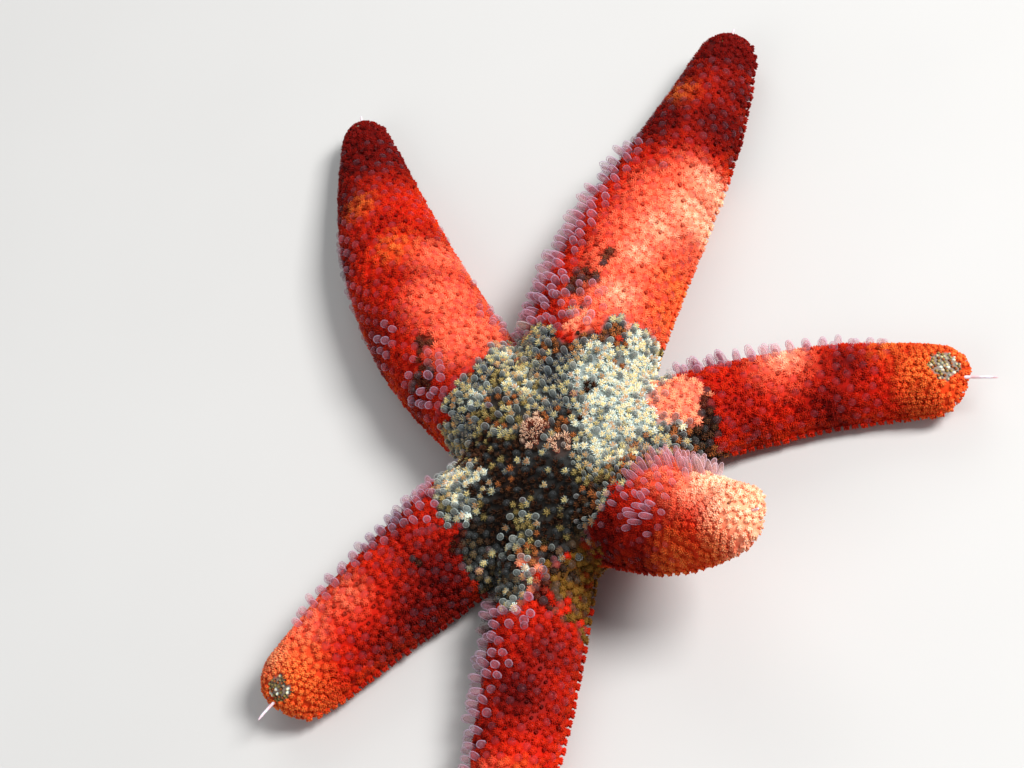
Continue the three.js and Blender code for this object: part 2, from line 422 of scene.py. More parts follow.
STAINS = {
    # Painted shade: dark wine red over the arms' ends and along their shaded sides.
    Pigment.WINE: Stain(dense=0.95, edge=4, arm_spots=(
        (0, 1, 0, 8), (0, 0.8, 0.9, 3), (0, 0.66, 1, 2), (0, 0.3, 1, 1), (0, 0.45, 1, 1.4), (1, 1, 0, 5.2),
        (1, 0.88, 0.8, 2.4), (1, 0.86, -0.9, 2), (1, 0.77, -0.7, 2.6), (1, 0.74, 0.5, 3.2),
        (1, 0.62, 1, 1.8), (1, 0.42, 1, 0.6), (2, 0.7, 0.1, 1.2), (2, 0.66, -0.8, 1.2),
        (2, 0.44, -0.8, 0.4), (3, 0.42, -0.9, 2.2), (3, 0.6, -0.9, 1.2), (4, 0.42, 0.5, 1.4),
        (4, 0.53, 0.1, 2.2), (4, 0.6, -0.5, 1), (4, 0.44, -0.9, 1), (5, 0.42, 0.7, 2.6),
        (5, 0.43, -0.6, 0.8), (5, 0.54, 0.9, 2.2), (5, 0.52, -0.9, 1), (5, 0.66, 1, 1.2),
    )),
    # Painted highlight: pale coral where the light falls brightest on the arms' backs.
    Pigment.BLUSH: Stain(dense=1, edge=3.8, arm_spots=(
        (0, 0.31, -0.35, 2.6), (0, 0.42, -0.4, 2.2), (0, 0.55, -0.7, 1.4), (1, 0.29, -0.4, 2.6),
        (1, 0.38, -0.4, 2.6), (1, 0.47, -0.4, 2.6), (1, 0.56, -0.45, 2.6), (1, 0.62, -0.6, 1.6),
        (2, 0.555, 0.35, 1.6), (3, 0.62, 0.6, 1.8), (3, 0.78, 0.45, 1.8), (3, 0.99, 0.1, 2.4),
        (4, 0.72, -0.2, 0.8), (5, 0.8, -0.5, 2), (5, 0.66, -0.15, 1), (5, 0.89, -0.2, 1.3),
    )),
    # Painted highlight: peach at the hearts of the brightest highlights, the lit end of arm d among them.
    Pigment.PEACH: Stain(dense=0.9, edge=2.8, arm_spots=(
        (1, 0.3, -0.45, 0.6), (1, 0.41, -0.45, 0.5), (1, 0.49, -0.55, 0.7), (1, 0.57, -0.85, 1.2),
        (1, 0.64, -0.9, 0.9), (2, 0.565, 0.5, 0.8), (3, 0.74, 0.8, 0.8), (3, 0.84, 0.7, 1.7),
        (3, 0.98, 0.2, 2.3), (5, 0.93, -0.4, 0.5),
    )),
    Pigment.AMBER: Stain(dense=0.8, edge=3.2, arm_spots=(
        (0, 0.6, -0.15, 1), (0, 0.74, 0.2, 0.5), (1, 0.4, -0.95, 0.9), (1, 0.32, -0.95, 0.8),
        (1, 0.82, 0.3, 0.35), (2, 0.92, -0.1, 1.8), (2, 0.81, 0.6, 0.9), (2, 0.97, 0.5, 1.2),
        (2, 0.97, -0.5, 1.2), (3, 0.72, -0.95, 1.1), (3, 0.88, -0.85, 0.8), (4, 0.7, 0.4, 0.6),
        (4, 1, 0, 2.4), (5, 0.94, 0.1, 2.4), (5, 0.99, 0, 1.5), (5, 0.85, 0.1, 0.5),
    )),
    Pigment.GREY: Stain(dense=1, edge=0.8, spots=(
        (0.5, 1, 5.4), (-0.4, 6.4, 3.6), (-0.8, 8.4, 2.2), (1.4, 9.4, 1.8), (0.6, 10.8, 1),
        (-3.6, 6.8, 2.7), (-5.2, 6.2, 1.9), (4.8, 2.6, 4.3), (7.6, 3.6, 2.4), (8.6, 5.2, 1.4),
        (4.4, 4.9, 1.8), (4.4, -2.2, 3.3), (7.6, -2.8, 1.9), (1.8, -4.6, 2.2), (3.9, -4.7, 2),
        (-5.2, 1.2, 3.5), (-7.2, 2.2, 2.3), (-8, -0.2, 1.7), (-5.5, -2, 3), (-3.5, -4.2, 3.2),
        (-5.8, -5, 1.9), (-7.4, -6.4, 1.9), (0, -5.4, 1.9), (-8.6, -3.2, 1.4), (2.6, 8, 1.4),
    ), arm_spots=((1, 0.25, 0, 0.4), (1, 0.23, -0.5, 0.7))),
    Pigment.OLIVE: Stain(dense=0.75, edge=0.9, spots=(
        (-4.3, -4.2, 2), (-3.5, 4.9, 1.2), (0.4, 5.2, 1), (0.4, -3.9, 1), (-5.2, 4, 1.2), (-8.4, 0.5, 0.8),
        (-1.4, 7.4, 0.8), (-1.2, 3.6, 0.9), (9.9, 5.4, 0.6), (-3.4, 1.6, 1.2), (1.6, -5.2, 1),
        (-6.8, -1.8, 1.2), (-2.9, -5.8, 1.2),
    )),
    Pigment.SLATE: Stain(dense=0.7, edge=0.7, spots=(
        (2.6, 5.5, 1.5), (-4.8, 6, 1.2), (1.6, 2.4, 0.9), (-3.6, -0.4, 1.3), (-8.2, -0.9, 0.8),
        (2.2, 8.4, 1.1), (-1.8, 9, 0.7), (4, 0.9, 0.5), (-6.6, 3.6, 1), (-2.4, 7, 0.7), (0.9, 6.6, 0.7),
    )),
    Pigment.UMBER: Stain(dense=0.75, edge=0.7, spots=(
        (3, 7.3, 0.9), (4.2, 6.4, 0.8), (5.6, 6.5, 0.8), (-1.8, 5.6, 0.9), (6.7, 3.9, 0.6),
        (8.5, -3.3, 1.7), (9.8, -2.8, 1), (0.9, 1.5, 0.8), (-3.1, 4.3, 0.8), (-4.5, -1.4, 1.4),
        (-0.4, -5.5, 1.3), (3.4, -5.2, 1.4), (5, -5.2, 1.1), (-5.4, -6.2, 1.1), (7, -0.6, 0.5),
        (5, -2.6, 0.5), (0.9, -0.4, 0.5), (-3, 8.6, 0.7), (7.6, 5.8, 0.9), (6.8, -4.6, 1.1),
    )),
    Pigment.CREAM: Stain(dense=0.92, edge=1.5, spots=(
        (4.6, 3.6, 1.5), (3.2, 3.2, 0.7), (4.6, 1.6, 1.8), (6.6, 2.2, 2.2), (8, 3.3, 1.7), (6.6, 0.2, 1.6),
        (4.8, -0.9, 1.8), (6.2, -1.2, 1.1), (2.7, -1.4, 1.3), (2.4, -2.7, 1), (7.7, -1.7, 0.7),
        (3.6, -3.7, 0.6), (2.6, 0.4, 0.9), (-7.3, 2.5, 1.3), (-6.5, 1.6, 0.8), (-8.2, 0.6, 0.7),
        (-7.8, -0.9, 0.6), (0.2, 9.9, 0.5), (-0.2, 6.9, 0.7), (0.2, 4.9, 0.7), (-3.2, 7.4, 0.6),
        (-6.2, -6.6, 0.5), (-7.8, -6.3, 0.5), (-8, -8.4, 0.5), (-6, -4.3, 0.5), (8.8, 5.4, 0.9),
        (6.2, 5.2, 0.9),
    )),
    # Ink: black plates and patches, and painted shade over the dark hollows on the disc's left and lower
    # side.
    Pigment.INK: Stain(dense=0.9, edge=0.9, spots=(
        (4, 2.6, 0.4), (6.8, 3.1, 0.25), (-0.2, 2.8, 0.4), (-2.2, 1.4, 0.9), (-1.9, 0.5, 1),
        (-1.2, -1.1, 1), (-1.3, -2.4, 1.5), (-0.4, -3.5, 0.8), (-3.2, -1.6, 1.3), (-4.3, 2.4, 1.3),
        (-5.6, 3.6, 1.1), (-3.2, 0.8, 1), (-4.6, 0.2, 0.9), (-5.2, -0.9, 1.3), (-6.6, -2.8, 1.5),
        (-8.8, -2.6, 1.4), (-8.2, -4.6, 1.5), (-7.7, -7, 0.8), (-2.3, -5.6, 1.6), (0, -5.6, 1.3),
        (-1.6, -4.2, 0.9), (-7.4, -4.4, 1.2), (-6.2, 0.4, 0.8), (-4.2, -8.1, 0.7), (3.9, 6.8, 0.4),
        (-2.7, -3.4, 0.9), (2, 1, 0.3), (5.4, -3.6, 0.3), (9.2, -3.4, 0.5), (-5.6, -8.6, 1),
        (-6.8, -6, 0.8), (-3.9, -6.6, 0.8), (6.2, -4.9, 0.4),
    ), arm_spots=(
        (0, 0.35, 0.2, 0.8), (0, 0.29, 0.5, 1), (1, 0.31, 0.1, 1), (1, 0.365, -0.15, 0.7),
        (2, 0.335, -0.1, 0.8), (2, 0.32, -0.45, 1), (5, 0.43, 0.3, 0.25), (4, 0.29, -0.8, 1.3),
        (4, 0.36, -0.9, 0.8), (5, 0.28, 0.8, 1.4),
    )),
    Pigment.CORAL: Stain(dense=1, edge=1.1, spots=(
        (9, -0.3, 1.9), (-5.8, -6.3, 0.4), (-6.2, -7.5, 0.5), (5.6, 8, 0.7),
    )),
    Pigment.OCHRE: Stain(dense=0.85, edge=0.9, spots=(
        (-3.6, -8.8, 1.7), (-3.9, -10.8, 1.4), (-2.4, -8.2, 1.3), (-5, -7.8, 0.7), (-5.3, -10.6, 0.5),
    )),
    Pigment.ROSE: Stain(dense=1, edge=0.3, spots=((-0.9, 1.7, 1), (0, -0.4, 0.8), (0.7, 0.3, 0.4))),
}


# How a tuft's tone turns into a fresh chance for each pigment, on the body and in the bare patches.
SHUFFLE = (7.31, 0.377)
BARE_SHUFFLE = (5.17, 0.31)
# Broad tints that each tuft takes whole: painted shade, painted highlights and amber.
BROAD_SHADE_HIGHLIGHT_AND_AMBER = (Pigment.WINE, Pigment.BLUSH, Pigment.PEACH, Pigment.AMBER)
BARE_PATCH = {Pigment.GREY: 0.62, Pigment.OLIVE: 0.5, Pigment.UMBER: 0.3, Pigment.CREAM: 0.14}


def shuffled(tone: Array, order: int, stretch: float, shift: float) -> Array:
    """Turns tones into other numbers from 0 to 1, in another order for each pigment."""
    return (tone * stretch + order * shift) % 1.0


@dataclass
class Markings:
    """Works out how much of each pigment, painted shade and painted highlight a place on the body holds."""

    star: StarPlan
    spots: dict[Pigment, Array] = field(init=False)
    warp: float = 0.45
    warp_length: float = 2.6
    broad_warp: float = 0.3
    crispness: float = 0.12
    least: float = 0.02
    arm_from: float = 0.24
    sole_fade: tuple[float, float] = (0.05, 0.25)
    arm_veil: float = 0.1

    def __post_init__(self) -> None:
        """Places every spot."""
        self.spots = {}
        for pigment, stain in STAINS.items():
            rows = [np.array([x, y, radius]) for x, y, radius in stain.spots]
            for arm, share, across, radius in stain.arm_spots:
                place = self.star.spot(arm, share, across)
                rows.append(np.array([place[0], place[1], radius]))
            self.spots[pigment] = np.array(rows)

    def weigh(self, points: Array, survey: Survey, tone: Array | None = None) -> dict[Pigment, Array]:
        """Gives each pigment's strength at each place.

        Args:
            points: Places in millimetres.
            survey: The same places' section coordinates.
            tone: Each tuft's random number from 0 to 1, by which it takes a pigment whole or leaves it.

        Returns:
            One array of 0 to 1 for each pigment.
        """
        warp = np.stack([ripple(points, self.warp_length, 11 + i) for i in range(2)], axis=1) * self.warp
        flat = points[:, :2] - self.star.centre[:2]
        on_arm = smooth((survey.share - self.arm_from) / 0.04)
        start, stop = self.sole_fade
        upper = smooth((survey.rise - start) / (stop - start))
        weights = {}
        for order, pigment in enumerate(Pigment):
            stain, spots = STAINS[pigment], self.spots[pigment]
            here = flat + warp * (self.broad_warp if pigment in BROAD_SHADE_HIGHLIGHT_AND_AMBER else 1.0)
            gaps = np.linalg.norm(here[:, None, :] - spots[None, :, :2], axis=2) - spots[None, :, 2]
            weight = smooth(0.5 - gaps.min(axis=1) / stain.edge) * stain.dense
            if tone is not None and pigment not in BROAD_SHADE_HIGHLIGHT_AND_AMBER:
                own = shuffled(tone, order, *SHUFFLE)
                veil = self.arm_veil * on_arm if pigment is Pigment.INK else 0.0
                taken = smooth((weight * (1 - veil) - own) / self.crispness + 0.5)
                weight = taken * (weight > self.least) * (1 - veil)
            weights[pigment] = weight * upper
        bare = self.star.bare(points)
        for order, (pigment, share) in enumerate(BARE_PATCH.items()):
            own = share if tone is None else (shuffled(tone, order, *BARE_SHUFFLE) < share) * 1.0
            weights[pigment] = np.where(bare, own, weights[pigment])
        return weights


# Meshes from arrays


@dataclass
class Growths:
    """The places where like things grow on the body, one row for each."""

    root: Array
    normal: Array
    lie: Array
    survey: Survey
    tone: Array
    size: Array
    unwrap: Array

    def __len__(self) -> int:
        """How many there are."""
        return len(self.root)

    def pick(self, chosen: Array) -> "Growths":
        """The growths that a mask or a list of numbers chooses."""
        rows = {key: value[chosen] for key, value in vars(self).items() if key != "survey"}
        return Growths(survey=self.survey.pick(chosen), **rows)

    @staticmethod
    def join(parts: list["Growths"]) -> "Growths":
        """Puts several lists of growths together."""
        keys = [key for key in vars(parts[0]) if key != "survey"]
        rows = {key: np.concatenate([getattr(part, key) for part in parts]) for key in keys}
        return Growths(survey=Survey.join([part.survey for part in parts]), **rows)


@dataclass(frozen=True)
class Profile:
    """A turned shape's outline: along and width shares of each ring, and where its point closes."""

    sides: int
    rings: tuple[tuple[float, float], ...]
    apex: float = 1.0

    def faces(self) -> Array:
        """Triangles of one shape, open at its root."""
        n, made = self.sides, []
        for row in range(len(self.rings) - 1):
            for i in range(n):
                a, b = row * n + i, row * n + (i + 1) % n
                made += [(a, b, a + n), (b, b + n, a + n)]
        last = (len(self.rings) - 1) * n
        made += [(last + i, last + (i + 1) % n, last + n) for i in range(n)]
        return np.array(made)


SPINELET = Profile(3, ((0.0, 0.85), (0.74, 1.0)))
PLATE = Profile(6, ((-0.6, 1.0), (0.6, 0.8)))
SPINE = Profile(6, ((0.0, 0.9), (0.45, 1.0), (0.85, 0.75)))
BEAD = Profile(9, ((-0.6, 0.9), (0.2, 1.0), (0.6, 0.86), (0.88, 0.5)))
GRANULE = Profile(7, ((-0.6, 1.0), (0.45, 0.86), (0.85, 0.5)))
SAC = Profile(10, ((0.0, 0.62), (0.18, 0.84), (0.48, 1.0), (0.76, 0.92), (0.93, 0.58)))
LUMEN = Profile(7, ((0.0, 0.7), (0.25, 0.9), (0.6, 1.0), (0.88, 0.66)))
CUP = Profile(8, ((0.0, 0.8), (0.8, 1.0), (1.0, 0.8), (0.85, 0.5)), apex=0.2)
FOOT = Profile(10, ((0.0, 0.9), (0.5, 0.62), (0.8, 0.7), (0.9, 1.2), (1.0, 1.15)), apex=0.94)


@dataclass
class MeshMaker:
    """Gathers many small shapes into one mesh, with the attributes that its material reads.

    A batch holds points, triangles, owners, and the along, heart and bake map values of some shapes.
    """

    batches: list[tuple[Array, ...]] = field(default_factory=list)
    growths: list[Growths] = field(default_factory=list)
    count: int = 0
    grown: int = 0

    def add_growths(self, growths: Growths) -> Array:
        """Registers growths and gives their numbers."""
        numbers = self.grown + np.arange(len(growths))
        self.growths.append(growths)
        self.grown += len(growths)
        return numbers

    def add(
        self,
        profile: Profile,
        base: Array,
        way: Array,
        length: Array | float,
        radius: Array | float,
        owner: Array,
        heart: Array | float = 0.0,
    ) -> None:
        """Adds turned shapes.

        Args:
            profile: Their outline.
            base: Where each one's root is.
            way: The direction in which each one stands.
            length: Their lengths, or one for all.
            radius: Their radii, or one for all.
            owner: The growth that each belongs to.
            heart: 1 for what stands in the middle of a tuft, and 0 for what stands round it. For a papula,
                how far it is open.
        """
        number, n = len(base), profile.sides
        length, radius = np.broadcast_to(length, number), np.broadcast_to(radius, number)
        helper = np.where(np.abs(way[:, 2:3]) > 0.9, [1.0, 0.0, 0.0], UP)
        first = unit(np.cross(way, helper))
        second = np.cross(way, first)
        turn = math.tau * np.arange(n) / n
        cosine, sine = np.cos(turn)[None, :, None], np.sin(turn)[None, :, None]
        ring = cosine * first[:, None, :] + sine * second[:, None, :]
        rows, along, local = [], [], []
        for share, width in profile.rings:
            centre = base + way * (share * length)[:, None]
            rows.append(centre[:, None, :] + ring * (width * radius)[:, None, None])
            along += [share] * n
            local += [(i / n - 0.5, share - 0.5) for i in range(n)]
        rows.append((base + way * (profile.apex * length)[:, None])[:, None, :])
        along.append(profile.apex)
        local.append((0.0, 0.5))
        points = np.concatenate(rows, axis=1)
        size = points.shape[1]
        faces = profile.faces()[None] + (self.count + size * np.arange(number))[:, None, None]
        along, local = np.tile(np.array(along, float), number), np.tile(np.array(local, float), (number, 1))
        worn = (np.repeat(owner, size), along, np.repeat(np.broadcast_to(heart, number), size), local)
        self.batches.append((points.reshape(-1, 3), faces.reshape(-1, 3), *worn))
        self.count += number * size

    def make(self, name: str, material: Material, markings: Markings | None) -> Piece:
        """Makes the object.

        Args:
            name: The piece's name.
            material: What it wears.
            markings: Gives the pigments at the roots, or None for a piece that wears none.

        Returns:
            The new piece.
        """
        points, faces, owners, along, heart, local = (np.concatenate(part) for part in zip(*self.batches))
        grown = Growths.join(self.growths)
        points[:, 2] = np.maximum(points[:, 2], FLOOR_CLEARANCE)
        piece = mesh_object(name, points, faces, material)
        mesh = piece.data
        set_attribute(mesh, "root", grown.root[owners] * MM)
        set_attribute(mesh, "place", place_of(grown.survey)[owners])
        set_attribute(mesh, "tone", grown.tone[owners])
        set_attribute(mesh, "along", along)
        set_attribute(mesh, "heart", heart)
        if markings is not None:
            for pigment, weight in markings.weigh(grown.root, grown.survey, grown.tone).items():
                set_attribute(mesh, pigment.value, weight[owners])
        set_map(mesh, grown.unwrap[owners] + local * BAKE_PATCH)
        return piece


def place_of(survey: Survey) -> Array:
    """Packs section coordinates for the shader: share of reach, nearness to the margin, rise."""
    return np.stack([survey.share, np.abs(survey.across), survey.rise], axis=1)


def set_attribute(mesh: bpy.types.Mesh, name: str, values: Array) -> None:
    """Stores one number, or one vector, for each vertex."""
    kind, key = ("FLOAT_VECTOR", "vector") if values.ndim == 2 else ("FLOAT", "value")
    layer = mesh.attributes.new(name, kind, "POINT")
    layer.data.foreach_set(key, np.ascontiguousarray(values, np.float32).ravel())


def set_map(mesh: bpy.types.Mesh, places: Array) -> None:
    """Adds the bake's UV map from one place for each vertex."""
    corner = np.empty(len(mesh.loops), np.int32)
    mesh.loops.foreach_get("vertex_index", corner)
    layer = mesh.uv_layers.new(name=BAKE_MAP)
    layer.uv.foreach_set("vector", np.clip(places[corner], 0, 1).astype(np.float32).ravel())


def mesh_object(name: str, points: Array, faces: Array, material: Material | None = None) -> Piece:
    """Makes a smooth-shaded object.

    Args:
        name: The object's name.
        points: Vertices in millimetres.
        faces: Triangles or four-sided faces, one row each.
        material: What it wears.

    Returns:
        The new object, in metres.
    """
    mesh = bpy.data.meshes.new(name)
    mesh.vertices.add(len(points))
    mesh.vertices.foreach_set("co", (points * MM).astype(np.float32).ravel())
    mesh.loops.add(faces.size)
    mesh.loops.foreach_set("vertex_index", faces.astype(np.int32).ravel())
    mesh.polygons.add(len(faces))
    mesh.polygons.foreach_set("loop_start", (np.arange(len(faces)) * faces.shape[1]).astype(np.int32))
    mesh.polygons.foreach_set("use_smooth", np.ones(len(faces), bool))
    mesh.update(calc_edges=True)
    mesh.validate()
    piece = bpy.data.objects.new(name, mesh)
    bpy.context.scene.collection.objects.link(piece)
    if material is not None:
        mesh.materials.append(material)
    return piece


def settle(piece: Piece, slot: str, *nodes: str) -> None:
    """Ties a finished piece to the body, and reports it.

    Args:
        piece: The piece.
        slot: Not used.
        nodes: The solids that it stands for.
    """
    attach(piece, "root")
    if nodes:
        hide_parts(*nodes)
    log.info("%s: %d faces", piece.name, len(piece.data.polygons))


# Shader building


@dataclass
class Nodes:
    """A node tree with short ways to add and join nodes."""

    tree: bpy.types.NodeTree

    def add(self, kind: str, inputs: dict | None = None, **settings: object) -> Node:
        """Adds a node.

        Args:
            kind: Blender's name for the node, without its ShaderNode prefix.
            inputs: Values or sockets for its inputs, by name or number.
            settings: The node's own properties.

        Returns:
            The new node.
        """
        node = self.tree.nodes.new("ShaderNode" + kind)
        for key, value in settings.items():
            setattr(node, key, value)
        self.dress(node, inputs or {})
        return node

    def feed(self, socket: Socket, value: object) -> None:
        """Links a socket to an input, or sets the input's value."""
        if isinstance(value, Socket):
            self.tree.links.new(value, socket)
        else:
            socket.default_value = value

    def mix(self, factor: object, first: object, second: object) -> Socket:
        """Mixes two colours."""
        return self.add("Mix", {0: factor, 6: first, 7: second}, data_type="RGBA").outputs[2]

    def math(self, operation: str, first: object, second: object = 0.0, clamp: bool = False) -> Socket:
        """Does one sum."""
        return self.add("Math", {0: first, 1: second}, operation=operation, use_clamp=clamp).outputs[0]

    def between(
        self, value: object, low: float, high: float, start: object = 0.0, stop: object = 1.0
    ) -> Socket:
        """Eases from start to stop as a value goes from low to high."""
        inputs = {"Value": value, "From Min": low, "From Max": high, "To Min": start, "To Max": stop}
        return self.add("MapRange", inputs, interpolation_type="SMOOTHSTEP").outputs[0]

    def noise(self, where: Socket, scale: object, detail: float) -> Socket:
        """Soft noise of about 0 to 1, with so many waves in a metre."""
        return self.add("TexNoise", {"Vector": where, "Scale": scale, "Detail": detail}).outputs[0]

    def times(self, first: object, second: object) -> Socket:
        """Multiplies two values."""
        return self.math("MULTIPLY", first, second)

    def attribute(self, name: str, output: str = "Fac") -> Socket:
        """Reads a mesh attribute."""
        return self.add("Attribute", attribute_name=name).outputs[output]

    def where(self) -> Socket:
        """Reads the place on the piece itself."""
        return self.add("TexCoord").outputs["Object"]

    def relief(self, height: Socket, strength: float, depth: float) -> Socket:
        """Turns a height into a bumped normal."""
        return self.add("Bump", {"Strength": strength, "Distance": depth, "Height": height}).outputs[0]

    def dress(self, node: Node, inputs: dict) -> None:
        """Feeds several inputs of a node, by name or number."""
        for key, value in inputs.items():
            self.feed(node.inputs[key], value)


class Group:
    """A shader node group with named sockets."""

    KINDS = {type(None): "NodeSocketVector", tuple: "NodeSocketColor"}

    def __init__(self, name: str, inputs: dict[str, object], outputs: dict[str, str]) -> None:
        """Makes the group's sockets.

        Args:
            name: The group's name.
            inputs: Each input's name and its plain value: a number, a colour, or None for a vector.
            outputs: Each output's name and kind.
        """
        self.tree = bpy.data.node_groups.new(name, "ShaderNodeTree")
        for key, value in inputs.items():
            kind = self.KINDS.get(type(value), "NodeSocketFloat")
            socket = self.tree.interface.new_socket(key, in_out="INPUT", socket_type=kind)
            if value is not None:
                socket.default_value = value
        for key, kind in outputs.items():
            self.tree.interface.new_socket(key, in_out="OUTPUT", socket_type=kind)
        self.nodes = Nodes(self.tree)
        self.input = self.tree.nodes.new("NodeGroupInput").outputs
        self.output = self.tree.nodes.new("NodeGroupOutput").inputs

    def place(self, nodes: Nodes, values: dict[str, object]) -> Node:
        """Places the group in a material, with values or links for its inputs."""
        return nodes.add("Group", values, node_tree=self.tree)


@dataclass(frozen=True)
class Hue:
    """A pigment's screen colours: round a tuft's edge, and in its heart."""

    edge: tuple[int, int, int]
    heart: tuple[int, int, int]


HUES = {
    # The first three hues are painted light: a wine red shade, then pale coral and peach highlights.
    Pigment.WINE: Hue((80, 3, 2), (104, 6, 3)),
    Pigment.BLUSH: Hue((255, 98, 66), (255, 130, 94)),
    Pigment.PEACH: Hue((255, 176, 136), (255, 220, 184)),
    Pigment.AMBER: Hue((222, 80, 28), (255, 136, 60)),
    Pigment.GREY: Hue((122, 132, 128), (230, 200, 128)),
    Pigment.OLIVE: Hue((86, 76, 44), (180, 152, 92)),
    Pigment.SLATE: Hue((70, 80, 92), (150, 138, 112)),
    Pigment.UMBER: Hue((76, 46, 30), (186, 104, 54)),
    Pigment.CREAM: Hue((210, 222, 214), (255, 218, 146)),
    Pigment.INK: Hue((16, 9, 6), (66, 44, 30)),
    Pigment.CORAL: Hue((255, 128, 96), (255, 168, 124)),
    Pigment.OCHRE: Hue((100, 64, 18), (136, 94, 36)),
    Pigment.ROSE: Hue((116, 36, 24), (255, 204, 168)),
}
FLECKED = (Pigment.GREY, Pigment.CREAM)
RED = linear(208, 29, 8)
DEEP = linear(158, 13, 4)
ORANGE = linear(232, 74, 18)
LAVENDER = linear(208, 202, 232)
MIST = linear(192, 206, 206)
RUSSET = linear(150, 60, 60)
SLATE_BLUE = linear(50, 58, 64)


def markings_group() -> Group:
    """The colour of the body at a place, from its pigments, painted shade and painted highlights, and from
    its tuft's tone and build.
    """
    inputs: dict[str, object] = {"Root": None, "Place": None, "Tone": 0.5, "Along": 0.5, "Heart": 0.0}
    inputs.update({"Red": RED, "Deep": DEEP, "Orange": ORANGE})
    for pigment in Pigment:
        inputs[f"{pigment.value} amount"] = 0.0
        inputs[f"{pigment.value} edge"] = linear(*HUES[pigment].edge)
        inputs[f"{pigment.value} heart"] = linear(*HUES[pigment].heart)
    group = Group("Body markings", inputs, {"Color": "NodeSocketColor"})
    n, given = group.nodes, group.input
    place = n.add("SeparateXYZ", {0: given["Place"]}).outputs
    broad = n.noise(given["Root"], 300, 2)
    mottle = n.math("ADD", n.times(broad, 0.85), n.times(given["Tone"], 0.15))
    colour = n.mix(n.between(mottle, 0.25, 0.7), given["Deep"], given["Red"])
    rim = n.times(n.between(place[1], 0.8, 1.02), n.between(given["Tone"], -0.3, 0.7))
    low = n.math("MAXIMUM", rim, n.between(place[2], 0.2, 0.02))
    lit = n.times(given["Heart"], n.between(given["Along"], -0.1, 0.8))
    warm = n.math("ADD", n.times(low, 0.6), n.times(lit, 0.12), clamp=True)
    colour = n.mix(warm, colour, given["Orange"])
    for pigment in Pigment:
        edge, heart = given[f"{pigment.value} edge"], given[f"{pigment.value} heart"]
        if pigment in FLECKED:
            heart = n.mix(n.between(given["Tone"], 0.66, 0.86, 0.0, 0.75), heart, given["umber heart"])
        own = n.mix(n.times(lit, n.between(given["Tone"], -0.4, 0.5)), edge, heart)
        colour = n.mix(given[f"{pigment.value} amount"], colour, own)
    bristly = n.times(n.between(given["Tone"], 0.05, 0.8), given["rose amount"])
    tip = n.times(n.between(given["Along"], 0.35, 0.95), bristly)
    colour = n.mix(tip, colour, given["rose heart"])
    # Painted shade: darker towards each spinelet's root, down among the tufts; the glassy tips a touch
    # paler.
    value = n.between(given["Along"], 0.0, 0.7, 0.86, 1.02)
    recess_shade = n.add("HueSaturation", {"Color": colour, "Value": value})
    n.feed(group.output["Color"], recess_shade.outputs[0])
    return group


def grain_group() -> Group:
    """Fine relief of wet living tissue, as a height and a roughness."""
    inputs = {"Vector": None, "Scale": 2600.0, "Rough": 0.45, "Spread": 0.15}
    group = Group("Wet grain", inputs, {"Height": "NodeSocketFloat", "Roughness": "NodeSocketFloat"})
    n, given = group.nodes, group.input
    grain = n.noise(given["Vector"], given["Scale"], 1)
    n.feed(group.output["Height"], grain)
    spread = n.times(n.math("SUBTRACT", grain, 0.5), given["Spread"])
    n.feed(group.output["Roughness"], n.math("ADD", given["Rough"], spread, clamp=True))
    return group


@dataclass
class Toolbox:
    """The node groups that the finishes share."""

    markings: Group = field(default_factory=markings_group)
    grain: Group = field(default_factory=grain_group)


def new_material(name: str) -> tuple[Material, Nodes, Node]:
    """Makes a material and gives it, its nodes and its Principled shader."""
    material = bpy.data.materials.new(name)
    material.use_nodes = True
    nodes = Nodes(material.node_tree)
    return material, nodes, material.node_tree.nodes["Principled BSDF"]


def marked_colour(nodes: Nodes, tools: Toolbox, along: float | None = None) -> Node:
    """Places the markings group, fed by a mesh's attributes.

    Args:
        nodes: The material's nodes.
        tools: The shared groups.
        along: A fixed place between root and tip, for a mesh that has none of its own.

    Returns:
        The group's node.
    """
    values: dict[str, object] = {
        "Root": nodes.attribute("root", "Vector"),
        "Place": nodes.attribute("place", "Vector"),
        "Tone": nodes.attribute("tone"),
        "Along": nodes.attribute("along") if along is None else along,
        "Heart": nodes.attribute("heart"),
    }
    for pigment in Pigment:
        values[pigment.value + " amount"] = nodes.attribute(pigment.value)
    return tools.markings.place(nodes, values)


@dataclass(frozen=True)
class FleshFinish:
    """Soft, slightly translucent living tissue in the body's markings."""

    name: str
    rough: float = 0.5
    spread: float = 0.2
    gloss: float = 0.07
    relief: float = 0.5
    relief_height: float = 0.00006
    translucence: float = 0.2
    bleed: tuple[float, float, float] = (1.0, 0.35, 0.2)
    bleed_depth: float = 0.0006
    # This darkens the whole colour: painted shade on the skin between the tufts and in the pores.
    recess_shade: float = 1.0
    along: float | None = None

    def make(self, tools: Toolbox) -> Material:
        """Makes the material."""
        material, n, shader = new_material(self.name)
        body = marked_colour(n, tools, self.along)
        where = n.where()
        grain = tools.grain.place(n, {"Vector": where, "Rough": self.rough, "Spread": self.spread})
        colour = n.add("HueSaturation", {"Color": body.outputs["Color"], "Value": self.recess_shade}).outputs[0]
        worn = {
            "Base Color": colour,
            "Roughness": grain.outputs["Roughness"],
            "Normal": n.relief(grain.outputs["Height"], self.relief, self.relief_height),
            "Specular IOR Level": self.gloss,
            "Subsurface Weight": self.translucence,
            "Subsurface Radius": self.bleed,
            "Subsurface Scale": self.bleed_depth,
        }
        n.dress(shader, worn)
        return material


